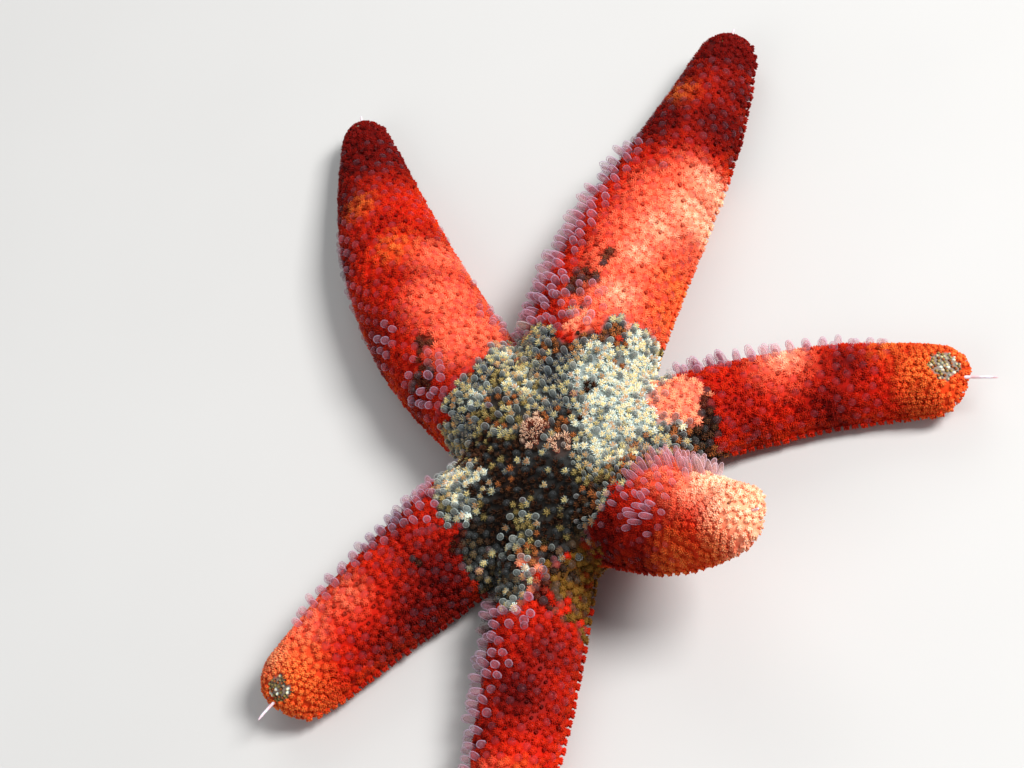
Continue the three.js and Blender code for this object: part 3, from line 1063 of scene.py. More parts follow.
@dataclass(frozen=True)
class MembraneFinish:
    """A see-through wall of a papula, tinted by the body, and denser where it is seen edge on.

    Attributes:
        name: The material's name.
        tints: Its own colour in red and in grey places.
        shares: How much of that shows in red, grey and inky places.
        middle: How dense the wall is seen face on, in red and in grey places.
        rim: How dense it is seen edge on, for a closed and for an open papula.
        turn: Where middle gives way to rim, as the wall turns from face on to edge on.
        rough: How rough it is.
        gloss: How strongly it shines.
    """

    name: str
    tints: tuple[Colour, Colour]
    # shares: How much of that shows in red, grey and inky places, the inky places holding painted shade
    # too.
    shares: tuple[float, float, float]
    middle: tuple[float, float]
    rim: tuple[float, float]
    turn: tuple[float, float] = (0.3, 0.72)
    rough: float = 0.3
    gloss: float = 0.2

    def make(self, tools: Toolbox) -> Material:
        """Makes the material."""
        material, n, shader = new_material(self.name)
        body = marked_colour(n, tools)
        red, grey, inky_and_shaded = self.shares
        where = n.where()
        grain = tools.grain.place(n, {"Vector": where, "Rough": self.rough, "Spread": 0.1, "Scale": 1500.0})
        # Ink places, which hold painted shade too, darken the sacs and thin their rims.
        on_ink_and_shade = n.attribute(Pigment.INK.value)
        on_grey = n.math("MAXIMUM", n.attribute(Pigment.GREY.value), on_ink_and_shade)
        opened = n.between(n.attribute("heart"), 0.0, 0.6)
        pale = n.between(on_grey, 0.0, 1.0, red, grey)
        dark = n.between(on_ink_and_shade, 0.0, 1.0, 1.0, inky_and_shaded / grey)
        held = n.math("MAXIMUM", opened, on_grey)
        share = n.times(n.times(pale, dark), n.between(held, 0.0, 0.6, 0.2, 1.0))
        tinted = n.mix(share, body.outputs["Color"], n.mix(on_grey, *self.tints))
        facing = n.add("LayerWeight", {"Blend": 0.5}).outputs["Facing"]
        middle = n.between(on_grey, 0.0, 1.0, *self.middle)
        rim = n.between(held, 0.0, 0.8, *self.rim)
        rim = n.times(rim, n.between(on_ink_and_shade, 0.0, 1.0, 1.0, 0.45))
        worn = {
            "Base Color": tinted,
            "Roughness": grain.outputs["Roughness"],
            "Alpha": n.between(facing, *self.turn, middle, rim),
            "Specular IOR Level": self.gloss,
        }
        n.dress(shader, worn)
        return material


@dataclass(frozen=True)
class PlateFinish:
    """Chalky plate of the skeleton that stands free of the skin, in two tones."""

    name: str
    light: Colour
    dark: Colour
    scale: float = 1400.0
    rough: float = 0.55
    spread: float = 0.2
    grain_scale: float = 1900.0
    relief_height: float = 0.00005
    gloss: float = 0.25
    translucence: float = 0.15
    bleed_depth: float = 0.0004

    def make(self, tools: Toolbox) -> Material:
        """Makes the material."""
        material, n, shader = new_material(self.name)
        where = n.where()
        fine = {"Vector": where, "Rough": self.rough, "Spread": self.spread, "Scale": self.grain_scale}
        grain = tools.grain.place(n, fine)
        patchy = n.between(n.noise(where, self.scale, 3), 0.35, 0.65)
        worn = {
            "Base Color": n.mix(patchy, self.dark, self.light),
            "Roughness": grain.outputs["Roughness"],
            "Normal": n.relief(grain.outputs["Height"], 0.5, self.relief_height),
            "Specular IOR Level": self.gloss,
            "Subsurface Weight": self.translucence,
            "Subsurface Scale": self.bleed_depth,
        }
        n.dress(shader, worn)
        return material


# The skin


@dataclass
class Skin:
    """One closed skin over disc and arms, inside the solids by the coat's depth."""

    star: StarPlan
    markings: Markings
    material: Material
    arch_points: int = 40
    ring_step: float = 0.5
    voxel: float = 0.25
    relax_rounds: int = 14
    tip_rings: int = 12
    dome_rings: int = 18
    dome_spokes: int = 64
    sole_points: int = 9
    furrow_depth: float = 0.2
    mouth_depth: float = 1.3
    least_height: float = 0.12
    FAINT = {Pigment.CREAM: 0.4, Pigment.OLIVE: 0.4, Pigment.ROSE: 0.08}
    # The skin under grey places takes darker pigments: partly its own colour, partly painted shade between
    # the tufts.
    UNDERTONE_AND_SHADE = {Pigment.SLATE: 0.35, Pigment.UMBER: 0.3, Pigment.INK: 0.8}
    NODES = ("disc", *(f"{plan.name}_{part}" for plan in ARMS for part in ("inner", "outer", "tip")))

    def outline(self) -> tuple[Array, Array]:
        """The section's outline as across and rise shares: an arch from side to side, then the sole."""
        angle = np.linspace(0, math.pi, self.arch_points)
        across = np.sign(np.cos(angle)) * np.abs(np.cos(angle)) ** ARCH_POWER
        rise = MARGIN_HEIGHT + (1 - MARGIN_HEIGHT) * np.clip(np.sin(angle), 0, 1) ** ARCH_POWER
        sole = np.linspace(-SOLE_EDGE, SOLE_EDGE, self.sole_points)
        return np.concatenate([across, sole]), np.concatenate([rise, np.full(self.sole_points, 0.04)])

    def tube(self, line: ArmLine) -> Shell:
        """Lofts one arm from the disc's centre to its tip.

        Args:
            line: The arm's sole line.

        Returns:
            Points and triangles.
        """
        across, rise = self.outline()
        end = line.plan.reach - COAT_DEPTH
        straight = line.plan.reach - TIP_ROUND * line.plan.widths[2]
        body, tip = np.arange(1.0, straight, self.ring_step), np.linspace(straight, end, self.tip_rings)
        marks = (np.full(len(across), mark) for mark in np.concatenate([body, tip]))
        rings = np.stack([line.lift_off(mark, across, rise, COAT_DEPTH) for mark in marks])
        rings[..., 2] += SOLE_DEPTH * 0.7
        return closed_loft(rings)

    def dome(self) -> Shell:
        """Turns the dome between the arms."""
        angle = np.linspace(0.02, math.pi / 2, self.dome_rings)
        radius = (DISC_RADIUS - COAT_DEPTH) * np.cos(angle) ** 0.7
        height = DISC_LIFT + (DISC_HEIGHT - COAT_DEPTH) * (0.2 + 0.8 * np.sin(angle))
        radius = np.concatenate([[0.85 * DISC_RADIUS], radius[:-1], [0.02]])
        height = np.concatenate([[DISC_LIFT + SOLE_DEPTH], height])
        turn = np.linspace(0, math.tau, self.dome_spokes, endpoint=False)
        rings = np.stack([np.cos(turn), np.sin(turn), 0 * turn], axis=1)[None] * radius[:, None, None]
        rings[..., 2] = height[:, None]
        return closed_loft(rings + self.star.centre)

    def remesh(self, shells: list[Shell]) -> Shell:
        """Joins closed shells into one even skin of four-sided faces.

        Args:
            shells: Points and triangles of each shell.

        Returns:
            Points in millimetres and faces.
        """
        first, points, faces = 0, [], []
        for shell_points, shell_faces in shells:
            points.append(shell_points)
            faces.append(shell_faces + first)
            first += len(shell_points)
        rough = mesh_object("skin_shells", np.concatenate(points) / MM, np.concatenate(faces))
        modifier = rough.modifiers.new("join", "REMESH")
        modifier.mode = "VOXEL"
        modifier.voxel_size = self.voxel
        joined = rough.evaluated_get(bpy.context.evaluated_depsgraph_get()).to_mesh()
        made = np.empty(len(joined.vertices) * 3, np.float32)
        joined.vertices.foreach_get("co", made)
        corners = np.empty(len(joined.loops), np.int32)
        joined.loops.foreach_get("vertex_index", corners)
        bpy.data.meshes.remove(rough.data)
        return made.reshape(-1, 3).astype(float), corners.reshape(-1, 4)

    def carve(self, points: Array, survey: Survey) -> Array:
        """Raises the sole along each arm's furrow and over the mouth.

        Args:
            points: The skin's vertices.
            survey: Their section coordinates.

        Returns:
            How far each vertex goes up.
        """
        lift = np.zeros(len(points))
        for index, line in enumerate(self.star.lines):
            mine = survey.arm == index
            if not mine.any():
                continue
            share = survey.share[mine]
            depth = self.furrow_depth * line.plan.height(share) * smooth((1 - share) / 0.06)
            lift[mine] = depth * np.exp(-((survey.across[mine] / (1.1 * GROOVE_EDGE)) ** 2))
        off = self.star.off_centre(points)
        lift = np.maximum(lift, self.mouth_depth * smooth((MOUTH_RADIUS + 0.5 - off) / 0.9))
        return lift * smooth((0.3 - survey.rise) / 0.2)

    def build(self) -> None:
        """Makes the skin, and keeps its points and survey for what grows on it."""
        points, faces = self.remesh([self.tube(line) for line in self.star.lines] + [self.dome()])
        edges = np.concatenate([faces[:, [i, (i + 1) % 4]] for i in range(4)])
        points = relax(points, edges, self.relax_rounds)
        survey = self.star.survey(points)
        points[:, 2] += self.carve(points, survey)
        points = relax(points, edges, 2)
        points[:, 2] = np.maximum(points[:, 2], self.least_height)
        self.points, self.survey = points, survey
        self.tree = BVHTree.FromPolygons(points.tolist(), faces.tolist())
        piece = mesh_object("skin", points, faces, self.material)
        set_attribute(piece.data, "root", points * MM)
        set_attribute(piece.data, "place", place_of(survey))
        set_attribute(piece.data, "tone", 0.5 + 0.35 * ripple(points, 1.5, 5))
        weights = self.markings.weigh(points, survey)
        covered = ~self.star.bare(points)
        # Darkens the skin under grey places: its own slate and umber, and painted shade in the gaps between
        # tufts.
        under = covered * weights[Pigment.GREY] * (1 - 0.8 * weights[Pigment.CREAM])
        for pigment, share in self.UNDERTONE_AND_SHADE.items():
            weights[pigment] = np.maximum(weights[pigment], share * under)
        for pigment, share in self.FAINT.items():
            weights[pigment] = weights[pigment] * np.where(covered, share, 1.0)
        for pigment, weight in weights.items():
            set_attribute(piece.data, pigment.value, weight)
        settle(piece, "arm_skin", *self.NODES)

    def snap(self, points: Array) -> tuple[Array, Array, Array]:
        """Drops points onto the skin.

        Args:
            points: Places near the skin.

        Returns:
            The nearest places on it, its outward direction there, and how far away each was.
        """
        found = [self.tree.find_nearest(Vector(p)) for p in points]
        place = np.array([tuple(f[0]) for f in found]).reshape(-1, 3)
        normal = np.array([tuple(f[1]) for f in found]).reshape(-1, 3)
        gap = np.array([f[3] for f in found])
        return place, normal, gap


def closed_loft(rings: Array) -> Shell:
    """Joins rings of equal count into a closed shell with a fan over each end.

    Args:
        rings: Ring, point and axis.

    Returns:
        Points and triangles.
    """
    rows, count = rings.shape[:2]
    a = (np.arange(rows - 1)[:, None] * count + np.arange(count)[None]).ravel()
    b = (np.arange(rows - 1)[:, None] * count + (np.arange(count) + 1)[None] % count).ravel()
    walls = np.concatenate([np.stack([a, b, a + count], 1), np.stack([b, b + count, a + count], 1)])
    hubs = np.stack([rings[0].mean(axis=0), rings[-1].mean(axis=0)])
    points = np.concatenate([rings.reshape(-1, 3), hubs])
    i, j = np.arange(count), (np.arange(count) + 1) % count
    last = (rows - 1) * count
    start = np.stack([j, i, np.full(count, rows * count)], 1)
    stop = np.stack([last + i, last + j, np.full(count, rows * count + 1)], 1)
    return points, np.concatenate([walls, start, stop])


def relax(points: Array, edges: Array, rounds: int) -> Array:
    """Evens out a mesh by drawing each vertex half way to its neighbours' middle.

    Args:
        points: Vertices.
        edges: Pairs of neighbours, both ways round or not.
        rounds: How often.

    Returns:
        The new vertices.
    """
    count = len(points)
    start = np.concatenate([edges[:, 0], edges[:, 1]])
    stop = np.concatenate([edges[:, 1], edges[:, 0]])
    degree = np.maximum(np.bincount(start, minlength=count), 1)
    for _ in range(rounds):
        sums = np.stack([np.bincount(start, points[stop, i], count) for i in range(3)], axis=1)
        points = points + 0.5 * (sums / degree[:, None] - points)
    return points


# Where the coat grows


@dataclass
class Lattice:
    """Lays plates and papulae over the skin: in rows along the arms, and scattered over the disc.

    Rows run beside an arm's middle line, each half a step out from the next. One place in three of
    the lattice holds a papula, with six plates round it.
    """

    star: StarPlan
    skin: Skin
    step: float = 0.66
    row: float = 0.866
    jitter: float = 0.13
    bead_step: float = 0.47
    disc_gap: float = 0.38
    sac_gap: float = 0.86
    bead_gap: float = 0.38
    hole_gap: float = 0.52
    ragged: float = 2.3
    touch: float = 0.5
    arm_start: float = 0.62
    arch_points: int = 60
    sole_radius: float = 11.0
    web_radius: float = 14.5
    map_width: float = 36.0
    grain_gap: float = 0.2
    rng: Chance = seeded(20)

    def half_outline(self) -> tuple[Array, Array]:
        """Half a section from the top of the back to the furrow, as across and rise shares."""
        angle = np.linspace(math.pi / 2, 0, self.arch_points)
        across = np.clip(np.cos(angle), 0, 1) ** ARCH_POWER
        rise = MARGIN_HEIGHT + (1 - MARGIN_HEIGHT) * np.sin(angle) ** ARCH_POWER
        across = np.concatenate([across, [SOLE_EDGE, GROOVE_EDGE]])
        return across, np.concatenate([rise, [0.0, 0.0]])

    def rows(self, plan: ArmPlan, start: float, step: float) -> tuple[Array, Array, Array]:
        """Finds an arm's lattice.

        Args:
            plan: The arm.
            start: Its distance from the disc's centre.
            step: The distance from one place to the next.

        Returns:
            Distance, signed girth from the back's middle line, and lattice class of 0 to 2.
        """
        stop = plan.reach - 0.5 * TIP_ROUND * plan.widths[2]
        wide = step * self.row
        count = int(1.25 * plan.width(np.array([0.25]))[0] / wide) + 2
        found = []
        for row in range(-count, count + 1):
            odd = row % 2
            steps = np.arange(int((stop - start) / step))
            distance = start + (steps + 0.5 * odd) * step
            kind = (steps - (row - odd) // 2 - row) % 3
            found.append(np.stack([distance, np.full(len(steps), row * wide), kind], axis=1))
        places = np.concatenate(found)
        wobble = self.rng.normal(scale=self.jitter * step, size=(len(places), 2))
        return places[:, 0] + wobble[:, 0], places[:, 1] + wobble[:, 1], places[:, 2].astype(int)

    def on_arm(self, index: int, start: float, step: float) -> tuple[Growths, Array, Array]:
        """Lays one arm's lattice on the skin.

        Args:
            index: The arm's number.
            start: Where the lattice starts, from the disc's centre.
            step: The distance from one place to the next.

        Returns:
            The growths, their lattice class, and their girth share, which is 1 at the margin.
        """
        line = self.star.lines[index]
        plan = line.plan
        distance, girth, kind = self.rows(plan, start, step)
        across, rise = self.half_outline()
        share = np.clip(distance / plan.reach, 0, 1)
        half = plan.width(share) / 2 * plan.taper(distance)
        height = plan.height(share) * plan.taper(distance)
        x, y = across[None, :] * half[:, None], rise[None, :] * height[:, None]
        run = np.cumsum(np.hypot(np.diff(x, prepend=x[:, :1]), np.diff(y, prepend=y[:, :1])), axis=1)
        margin = run[:, self.arch_points - 1]
        picks = np.flatnonzero(np.abs(girth) < run[:, -1])
        spot = np.array([np.interp(abs(girth[i]), run[i], np.arange(len(across))) for i in picks])
        low = np.clip(spot.astype(int), 0, len(across) - 2)
        part = spot - low
        sideways = (across[low] * (1 - part) + across[low + 1] * part) * np.sign(girth[picks] + 1e-9)
        upwards = rise[low] * (1 - part) + rise[low + 1] * part
        places = line.lift_off(distance[picks], sideways, upwards, COAT_DEPTH)
        root, normal, gap = self.skin.snap(places)
        close = gap < self.touch
        picks = picks[close]
        _, along, _, _ = line.frames(distance[picks])
        growths = self.growths(root[close], normal[close], along)
        return growths, kind[picks], np.abs(girth[picks]) / margin[picks]

    def growths(self, root: Array, normal: Array, lie: Array) -> Growths:
        """Completes growths with their survey, their chance and their place on the bake's map.

        Args:
            root: Where they grow.
            normal: The skin's outward direction there.
            lie: The way the coat lies.

        Returns:
            The growths.
        """
        lie = unit(lie - normal * dot(lie, normal)[:, None])
        tone = self.rng.uniform(size=len(root))
        size = self.rng.uniform(0.88, 1.12, len(root))
        survey = self.star.survey(root)
        around = np.arctan2(survey.across, survey.rise - TIP_MIDDLE) / (math.tau) + 0.5
        unwrap = np.stack([0.01 + 0.98 * survey.share, 0.01 + 0.98 * around], axis=1)
        return Growths(root, normal, lie, survey, tone, size, unwrap)

    def fill(self, wanted: Array, taken: Array, gap: float) -> tuple[Array, Array]:
        """Scatters places evenly over part of the skin, clear of those already taken.

        Args:
            wanted: Which of the skin's points may be used.
            taken: Where growths stand already.
            gap: The least distance between two places.

        Returns:
            The new places and the skin's outward direction there.
        """
        points = self.skin.points
        cells: dict[tuple[int, ...], list[Array]] = {}

        def cell(place: Array) -> tuple[int, ...]:
            """The grid cell that holds a place."""
            return tuple(int(c) for c in np.floor(place / gap))

        for place in taken:
            cells.setdefault(cell(place), []).append(place)
        around = [(i, j, k) for i in (-1, 0, 1) for j in (-1, 0, 1) for k in (-1, 0, 1)]
        chosen = []
        for index in self.rng.permutation(np.flatnonzero(wanted)):
            place = points[index]
            a, b, c = cell(place)
            others = [p for i, j, k in around for p in cells.get((a + i, b + j, c + k), ())]
            if others and (((np.array(others) - place) ** 2).sum(axis=1) < gap**2).any():
                continue
            cells.setdefault((a, b, c), []).append(place)
            chosen.append(index)
        root, normal, _ = self.skin.snap(points[chosen])
        return root, normal

    def apart(self, places: Array, gap: Array) -> Array:
        """Chooses places that keep clear of one another.

        Args:
            places: The places to choose from.
            gap: The least distance from each to the next.

        Returns:
            Which are chosen.
        """
        chosen = np.zeros(len(places), bool)
        for index in self.rng.permutation(len(places)):
            near = np.linalg.norm(places[chosen] - places[index], axis=1) < gap[index]
            chosen[index] = not near.any()
        return chosen

    def under_disc(self, taken: Array) -> Growths:
        """Scatters growths over the disc's sole, clear of the mouth and of the furrows.

        Args:
            taken: Where growths stand already.

        Returns:
            The growths.
        """
        off = self.star.off_centre(self.skin.points)
        survey = self.skin.survey
        wanted = (off > MOUTH_RADIUS + 0.9) & (off < self.sole_radius) & (survey.rise < UNDERSIDE)
        root, normal = self.fill(wanted & (np.abs(survey.across) > 2 * GROOVE_EDGE), taken, self.step)
        return self.growths(root, normal, (root - self.star.centre) * LEVEL)

    def on_disc(self, taken: Array, gap: float) -> Growths:
        """Scatters growths over the disc and the webs, where the arms' rows leave room.

        Args:
            taken: Where growths stand already.
            gap: The least distance between two places.

        Returns:
            The growths.
        """
        survey = self.skin.survey
        inner = self.star.off_centre(self.skin.points) < self.web_radius
        near = taken[self.star.off_centre(taken) < self.web_radius + 1.5]
        root, normal = self.fill(inner & (survey.rise > UNDERSIDE) & (survey.share < 0.5), near, gap)
        lie = (root - self.star.centre) * LEVEL
        growths = self.growths(root, normal, lie)
        far = np.hypot(np.hypot(lie[:, 0], lie[:, 1]), CROWN - root[:, 2])
        growths.unwrap = 0.5 + unit(lie[:, :2]) * (far / self.map_width)[:, None]
        return growths

    def on_tip(self, index: int, taken: Array) -> tuple[Growths, Growths, Growths]:
        """Fills the holes that an arm's rows leave, and grows its rounded tip.

        Args:
            index: The arm's number.
            taken: Where growths stand already.

        Returns:
            The tufts in the holes, the beads round the tip, and the grains of its bare patch.
        """
        survey, line = self.skin.survey, self.star.lines[index]
        begin = self.tip_share(index)
        ragged = begin + self.ragged / line.plan.reach * ripple(self.skin.points, 2.2, 8)
        own = survey.arm == index
        inside = self.star.bare(self.skin.points)
        after = ragged + 0.1 / line.plan.reach
        low = np.where(survey.share > begin - 0.2, UNDERSIDE, 0.34)
        holes = own & (survey.rise > low) & (survey.share > 0.3) & (survey.share < ragged) & ~inside
        last = self.scatter(line, holes, taken, self.hole_gap)
        rows, _, _ = self.on_arm(index, begin * line.plan.reach - self.ragged, self.bead_step)
        near = begin + self.ragged / line.plan.reach * ripple(rows.root, 2.2, 8)
        kept = (rows.survey.share > near) & ~self.star.bare(rows.root) & (rows.survey.rise > UNDERSIDE)
        rows = rows.pick(kept)
        free = own & (survey.rise > UNDERSIDE) & (survey.share > after) & ~inside
        beads = Growths.join([rows, self.scatter(line, free, rows.root, self.bead_gap)])
        return last, beads, self.scatter(line, own & inside, np.zeros((0, 3)), self.grain_gap)

    def scatter(self, line: ArmLine, wanted: Array, taken: Array, gap: float) -> Growths:
        """Scatters growths that lie along an arm.

        Args:
            line: The arm's sole line.
            wanted: Which of the skin's points may be used.
            taken: Where growths stand already.
            gap: The least distance between two places.

        Returns:
            The growths.
        """
        root, normal = self.fill(wanted, taken, gap)
        share = self.star.survey(root).share
        _, along, _, _ = line.frames(share * line.plan.reach)
        return self.growths(root, normal, along + 0.5 * smooth((share - 0.93) / 0.05)[:, None] * normal)

    def tip_share(self, index: int) -> float:
        """Share of the reach at which an arm's beaded tip begins."""
        plan = self.star.lines[index].plan
        return 1 - plan.beads / plan.reach


# The coat


@dataclass(frozen=True)
class TuftStyle:
    """A tuft of glassy spinelets on its plate. Lengths in millimetres, angles in degrees.

    Attributes:
        rays: How many spinelets it has.
        length: A spinelet's length.
        thickness: A spinelet's thickness.
        splay: How far the outermost ones lean out. Those nearer the middle lean less.
        foot: How far from the middle the outermost ones are rooted.
        plate: The plate's radius.
        plate_height: How far it stands up.
        lean: How far the whole tuft leans the way the coat lies.
    """

    rays: int
    length: float
    thickness: float
    splay: float
    foot: float
    plate: float
    plate_height: float
    lean: float = 0.0


DISC_TUFT = TuftStyle(22, 0.29, 0.074, 66, 0.11, 0.21, 0.17, 4)
BRISTLE_TUFT = TuftStyle(16, 0.4, 0.07, 42, 0.08, 0.18, 0.12, 8)
ARM_TUFT = TuftStyle(20, 0.24, 0.09, 76, 0.21, 0.34, 0.2, 8)
PILLOW_TUFT = TuftStyle(20, 0.2, 0.095, 74, 0.22, 0.35, 0.25, 8)
TIP_TUFT = TuftStyle(9, 0.2, 0.15, 60, 0.14, 0.25, 0.26, 34)
ORAL_TUFT = TuftStyle(5, 0.24, 0.16, 36, 0.1, 0.26, 0.1, 20)
SIEVE_TUFT = TuftStyle(6, 0.24, 0.06, 36, 0.05, 0.07, 0.06)
FURROW_TUFT = TuftStyle(3, 0.45, 0.2, 26, 0.12, 0.2, 0.12)
SIEVE_BRISTLES = 40
GOLDEN_TURN = 2.399963


@dataclass
class Coat:
    """The tufts of spinelets over the skin, one piece for each arm and one for the disc."""

    markings: Markings
    material: Material
    tooth_plate: float = 0.3
    tooth_width: float = 0.27
    tooth_length: float = 0.4
    tooth_rays: int = 5
    tooth_pad: float = 0.4
    tooth_spread: float = 0.21
    tooth_thickness: float = 0.095
    tooth_tilts: tuple[float, ...] = (-0.3, 0.1, 0.5)
    bead_lean: float = 0.9
    rng: Chance = seeded(31)

    def sow(self, maker: MeshMaker, growths: Growths, style: TuftStyle) -> None:
        """Adds one tuft for each growth.

        Args:
            maker: The mesh they go into.
            growths: Where they stand.
            style: Their shape.
        """
        count = len(growths)
        if not count:
            return
        owner = maker.add_growths(growths)
        side = np.cross(growths.normal, growths.lie)
        size = growths.size
        high, wide = style.plate_height * size, style.plate * size
        maker.add(PLATE, growths.root, growths.normal, high, wide, owner, 0.5)
        start = self.rng.uniform(0, math.tau, count)
        lean = math.radians(style.lean)
        axis = unit(growths.normal * math.cos(lean) + growths.lie * math.sin(lean))
        for ray in range(style.rays):
            off = math.sqrt((ray + 0.5) / style.rays)
            turn = start + ray * GOLDEN_TURN + self.rng.normal(scale=0.14, size=count)
            tilt = math.radians(style.splay) * off + self.rng.normal(scale=0.1, size=count)
            out = growths.lie * np.cos(turn)[:, None] + side * np.sin(turn)[:, None]
            way = unit(axis * np.cos(tilt)[:, None] + out * np.sin(tilt)[:, None])
            base = growths.root + out * (style.foot * off * size)[:, None]
            base = base + growths.normal * (0.5 * high)[:, None]
            length = style.length * size * self.rng.uniform(0.85, 1.12, count)
            thick = style.thickness / 2 * size * self.rng.uniform(0.9, 1.1, count)
            maker.add(SPINELET, base, way, length, thick, owner, float(np.clip(4.5 - 6 * off, 0, 1)))

    def bead(self, maker: MeshMaker, growths: Growths, radius: float, height: float) -> None:
        """Adds one rounded granule for each growth, leaning along the coat.

        Args:
            maker: The mesh they go into.
            growths: Where they stand.
            radius: Their radius.
            height: How far they stand out.
        """
        owner = maker.add_growths(growths)
        way = unit(growths.normal + growths.lie * self.bead_lean)
        maker.add(BEAD, growths.root, way, height * growths.size, radius * growths.size, owner, 0.6)

    def fringe(self, maker: MeshMaker, growths: Growths, out: Array) -> None:
        """Adds the blunt teeth along an arm's margin, each a flat fan of stout spinelets.

        Args:
            maker: The mesh they go into.
            growths: Where they stand.
            out: The way each tooth points.
        """
        count = len(growths)
        owner = maker.add_growths(growths)
        size = growths.size
        across = unit(growths.lie - out * dot(growths.lie, out)[:, None])
        over = np.cross(out, across)
        maker.add(PLATE, growths.root, out, self.tooth_plate * size, self.tooth_pad * size, owner, 0.5)
        for layer, tilt in enumerate(self.tooth_tilts):
            rays = self.tooth_rays - layer % 2
            for ray in range(rays):
                turn = (ray - (rays - 1) / 2) * self.tooth_spread + self.rng.normal(scale=0.06, size=count)
                lift = tilt + self.rng.normal(scale=0.08, size=count)
                way = unit(out + across * np.tan(turn)[:, None] + over * np.tan(lift)[:, None])
                foot = self.tooth_width * 0.6
                base = growths.root + across * (np.sin(turn) * foot)[:, None] + over * (tilt * foot)
                base = base + out * (0.4 * self.tooth_plate)
                length = self.tooth_length * size * self.rng.uniform(0.85, 1.1, count)
                thick = self.tooth_thickness * size
                maker.add(SPINELET, base, way, length, thick, owner, float(layer == 1))

    def finish(self, maker: MeshMaker, name: str, slot: str) -> None:
        """Turns gathered tufts into a piece."""
        settle(maker.make(name, self.material, self.markings), slot)


@dataclass(frozen=True)
class SacPatch:
    """A patch of an arm on which papulae are stretched out: where, how wide and how far."""

    arm: int
    share: float
    across: float
    radius: float
    reach: float


@dataclass
class Papulae:
    """The soft breathing sacs between the plates, stretched out on the body's shaded sides."""

    star: StarPlan
    markings: Markings
    wall: Material
    lumen: Material
    pore: Material
    shady_from: float = 0.32
    length: tuple[float, float] = (0.4, 1.45)
    radius: float = 0.3
    slim: float = 0.06
    open_from: float = 0.14
    pores: float = 0.3
    cup_radius: float = 0.15
    cup_height: float = 0.24
    end_fade: float = 0.08
    rng: Chance = seeded(47)
    SHADY = unit(np.array([-0.45, 0.78, 0.12]))
    PATCHES = tuple(SacPatch(*row) for row in (
        (0, 0.28, 0.6, 2.2, 0.4), (0, 0.42, 0.7, 1.8, 0.3), (0, 0.34, -0.95, 2, 0.4),
        (0, 0.5, -1, 1.8, 0.28), (0, 0.66, -1, 1.6, 0.2), (1, 0.26, 0, 2.2, 0.35), (1, 0.31, 0.5, 1.8, 0.5),
        (1, 0.64, -0.2, 1, 0.2), (2, 0.82, -0.4, 1.2, 0.16), (3, 0.5, 0.4, 1.3, 1), (3, 0.58, 0.75, 1.3, 1),
        (3, 0.7, 0.88, 1.5, 1), (3, 0.82, 0.88, 1.2, 0.9), (3, 0.64, -0.35, 1.5, 0.6),
        (3, 0.32, -0.4, 1.2, 0.4), (4, 0.3, -0.2, 2.2, 0.5), (4, 0.45, -0.6, 1.8, 0.4),
        (5, 0.34, -0.4, 1.8, 0.4),
    ))

    def reachout(self, growths: Growths) -> Array:
        """How far each sac on the arms is stretched out, from 0 for a closed pore to 1."""
        reach = np.clip((growths.normal @ self.SHADY - self.shady_from) / 0.5, 0, 1)
        combs = np.array([(plan.comb, plan.comb_end) for plan in ARMS])[growths.survey.arm]
        reach = reach * np.where(growths.survey.share > 0.2, combs[:, 0], 0.6)
        for patch in self.PATCHES:
            place = self.star.centre + self.star.spot(patch.arm, patch.share, patch.across)
            off = np.linalg.norm(growths.root - place, axis=1)
            reach = np.maximum(reach, patch.reach * smooth(1.6 - off / patch.radius))
        reach = reach * smooth((combs[:, 1] - growths.survey.share) / self.end_fade)
        grey = self.markings.weigh(growths.root, growths.survey)[Pigment.GREY]
        reach = np.maximum(reach * (1 - 0.75 * grey), 0.26 * grey)
        return reach * self.rng.uniform(0.7, 1.15, len(growths))

    def build(self, growths: Growths, reach: Array) -> None:
        """Makes the sacs' walls, their insides and the closed pores.

        Args:
            growths: Where they stand.
            reach: How far each is stretched out.
        """
        out = (reach > self.open_from) | (growths.tone > self.pores)
        sacs, pores = growths.pick(out), growths.pick(~out)
        stretch = np.clip(reach[out], 0.0, 1.05)
        grey = self.markings.weigh(sacs.root, sacs.survey)[Pigment.GREY]
        tilt = self.rng.normal(scale=0.16, size=(len(sacs), 3))
        shape = np.array([(plan.sac_lean, plan.sac_girth) for plan in ARMS])[sacs.survey.arm]
        lean = shape[:, 0] * (1 - grey) * stretch + 0.2 * grey
        way = unit(sacs.normal + tilt + sacs.lie * lean[:, None])
        length = self.length[0] + (self.length[1] - self.length[0]) * stretch
        radius = (self.radius * shape[:, 1] - self.slim * grey) * sacs.size
        base = sacs.root - sacs.normal * 0.05
        walls, insides, cups = MeshMaker(), MeshMaker(), MeshMaker()
        walls.add(SAC, base, way, length, radius, walls.add_growths(sacs), stretch)
        insides.add(LUMEN, base, way, length * 0.9, radius * 0.8, insides.add_growths(sacs), stretch)
        high, wide = self.cup_height * pores.size, self.cup_radius * pores.size
        cups.add(CUP, pores.root, pores.normal, high, wide, cups.add_growths(pores))
        parts = ((walls, "walls", self.wall), (insides, "insides", self.lumen), (cups, "pores", self.pore))
        for maker, name, material in parts:
            settle(maker.make(f"papula_{name}", material, self.markings), "disc_skin")


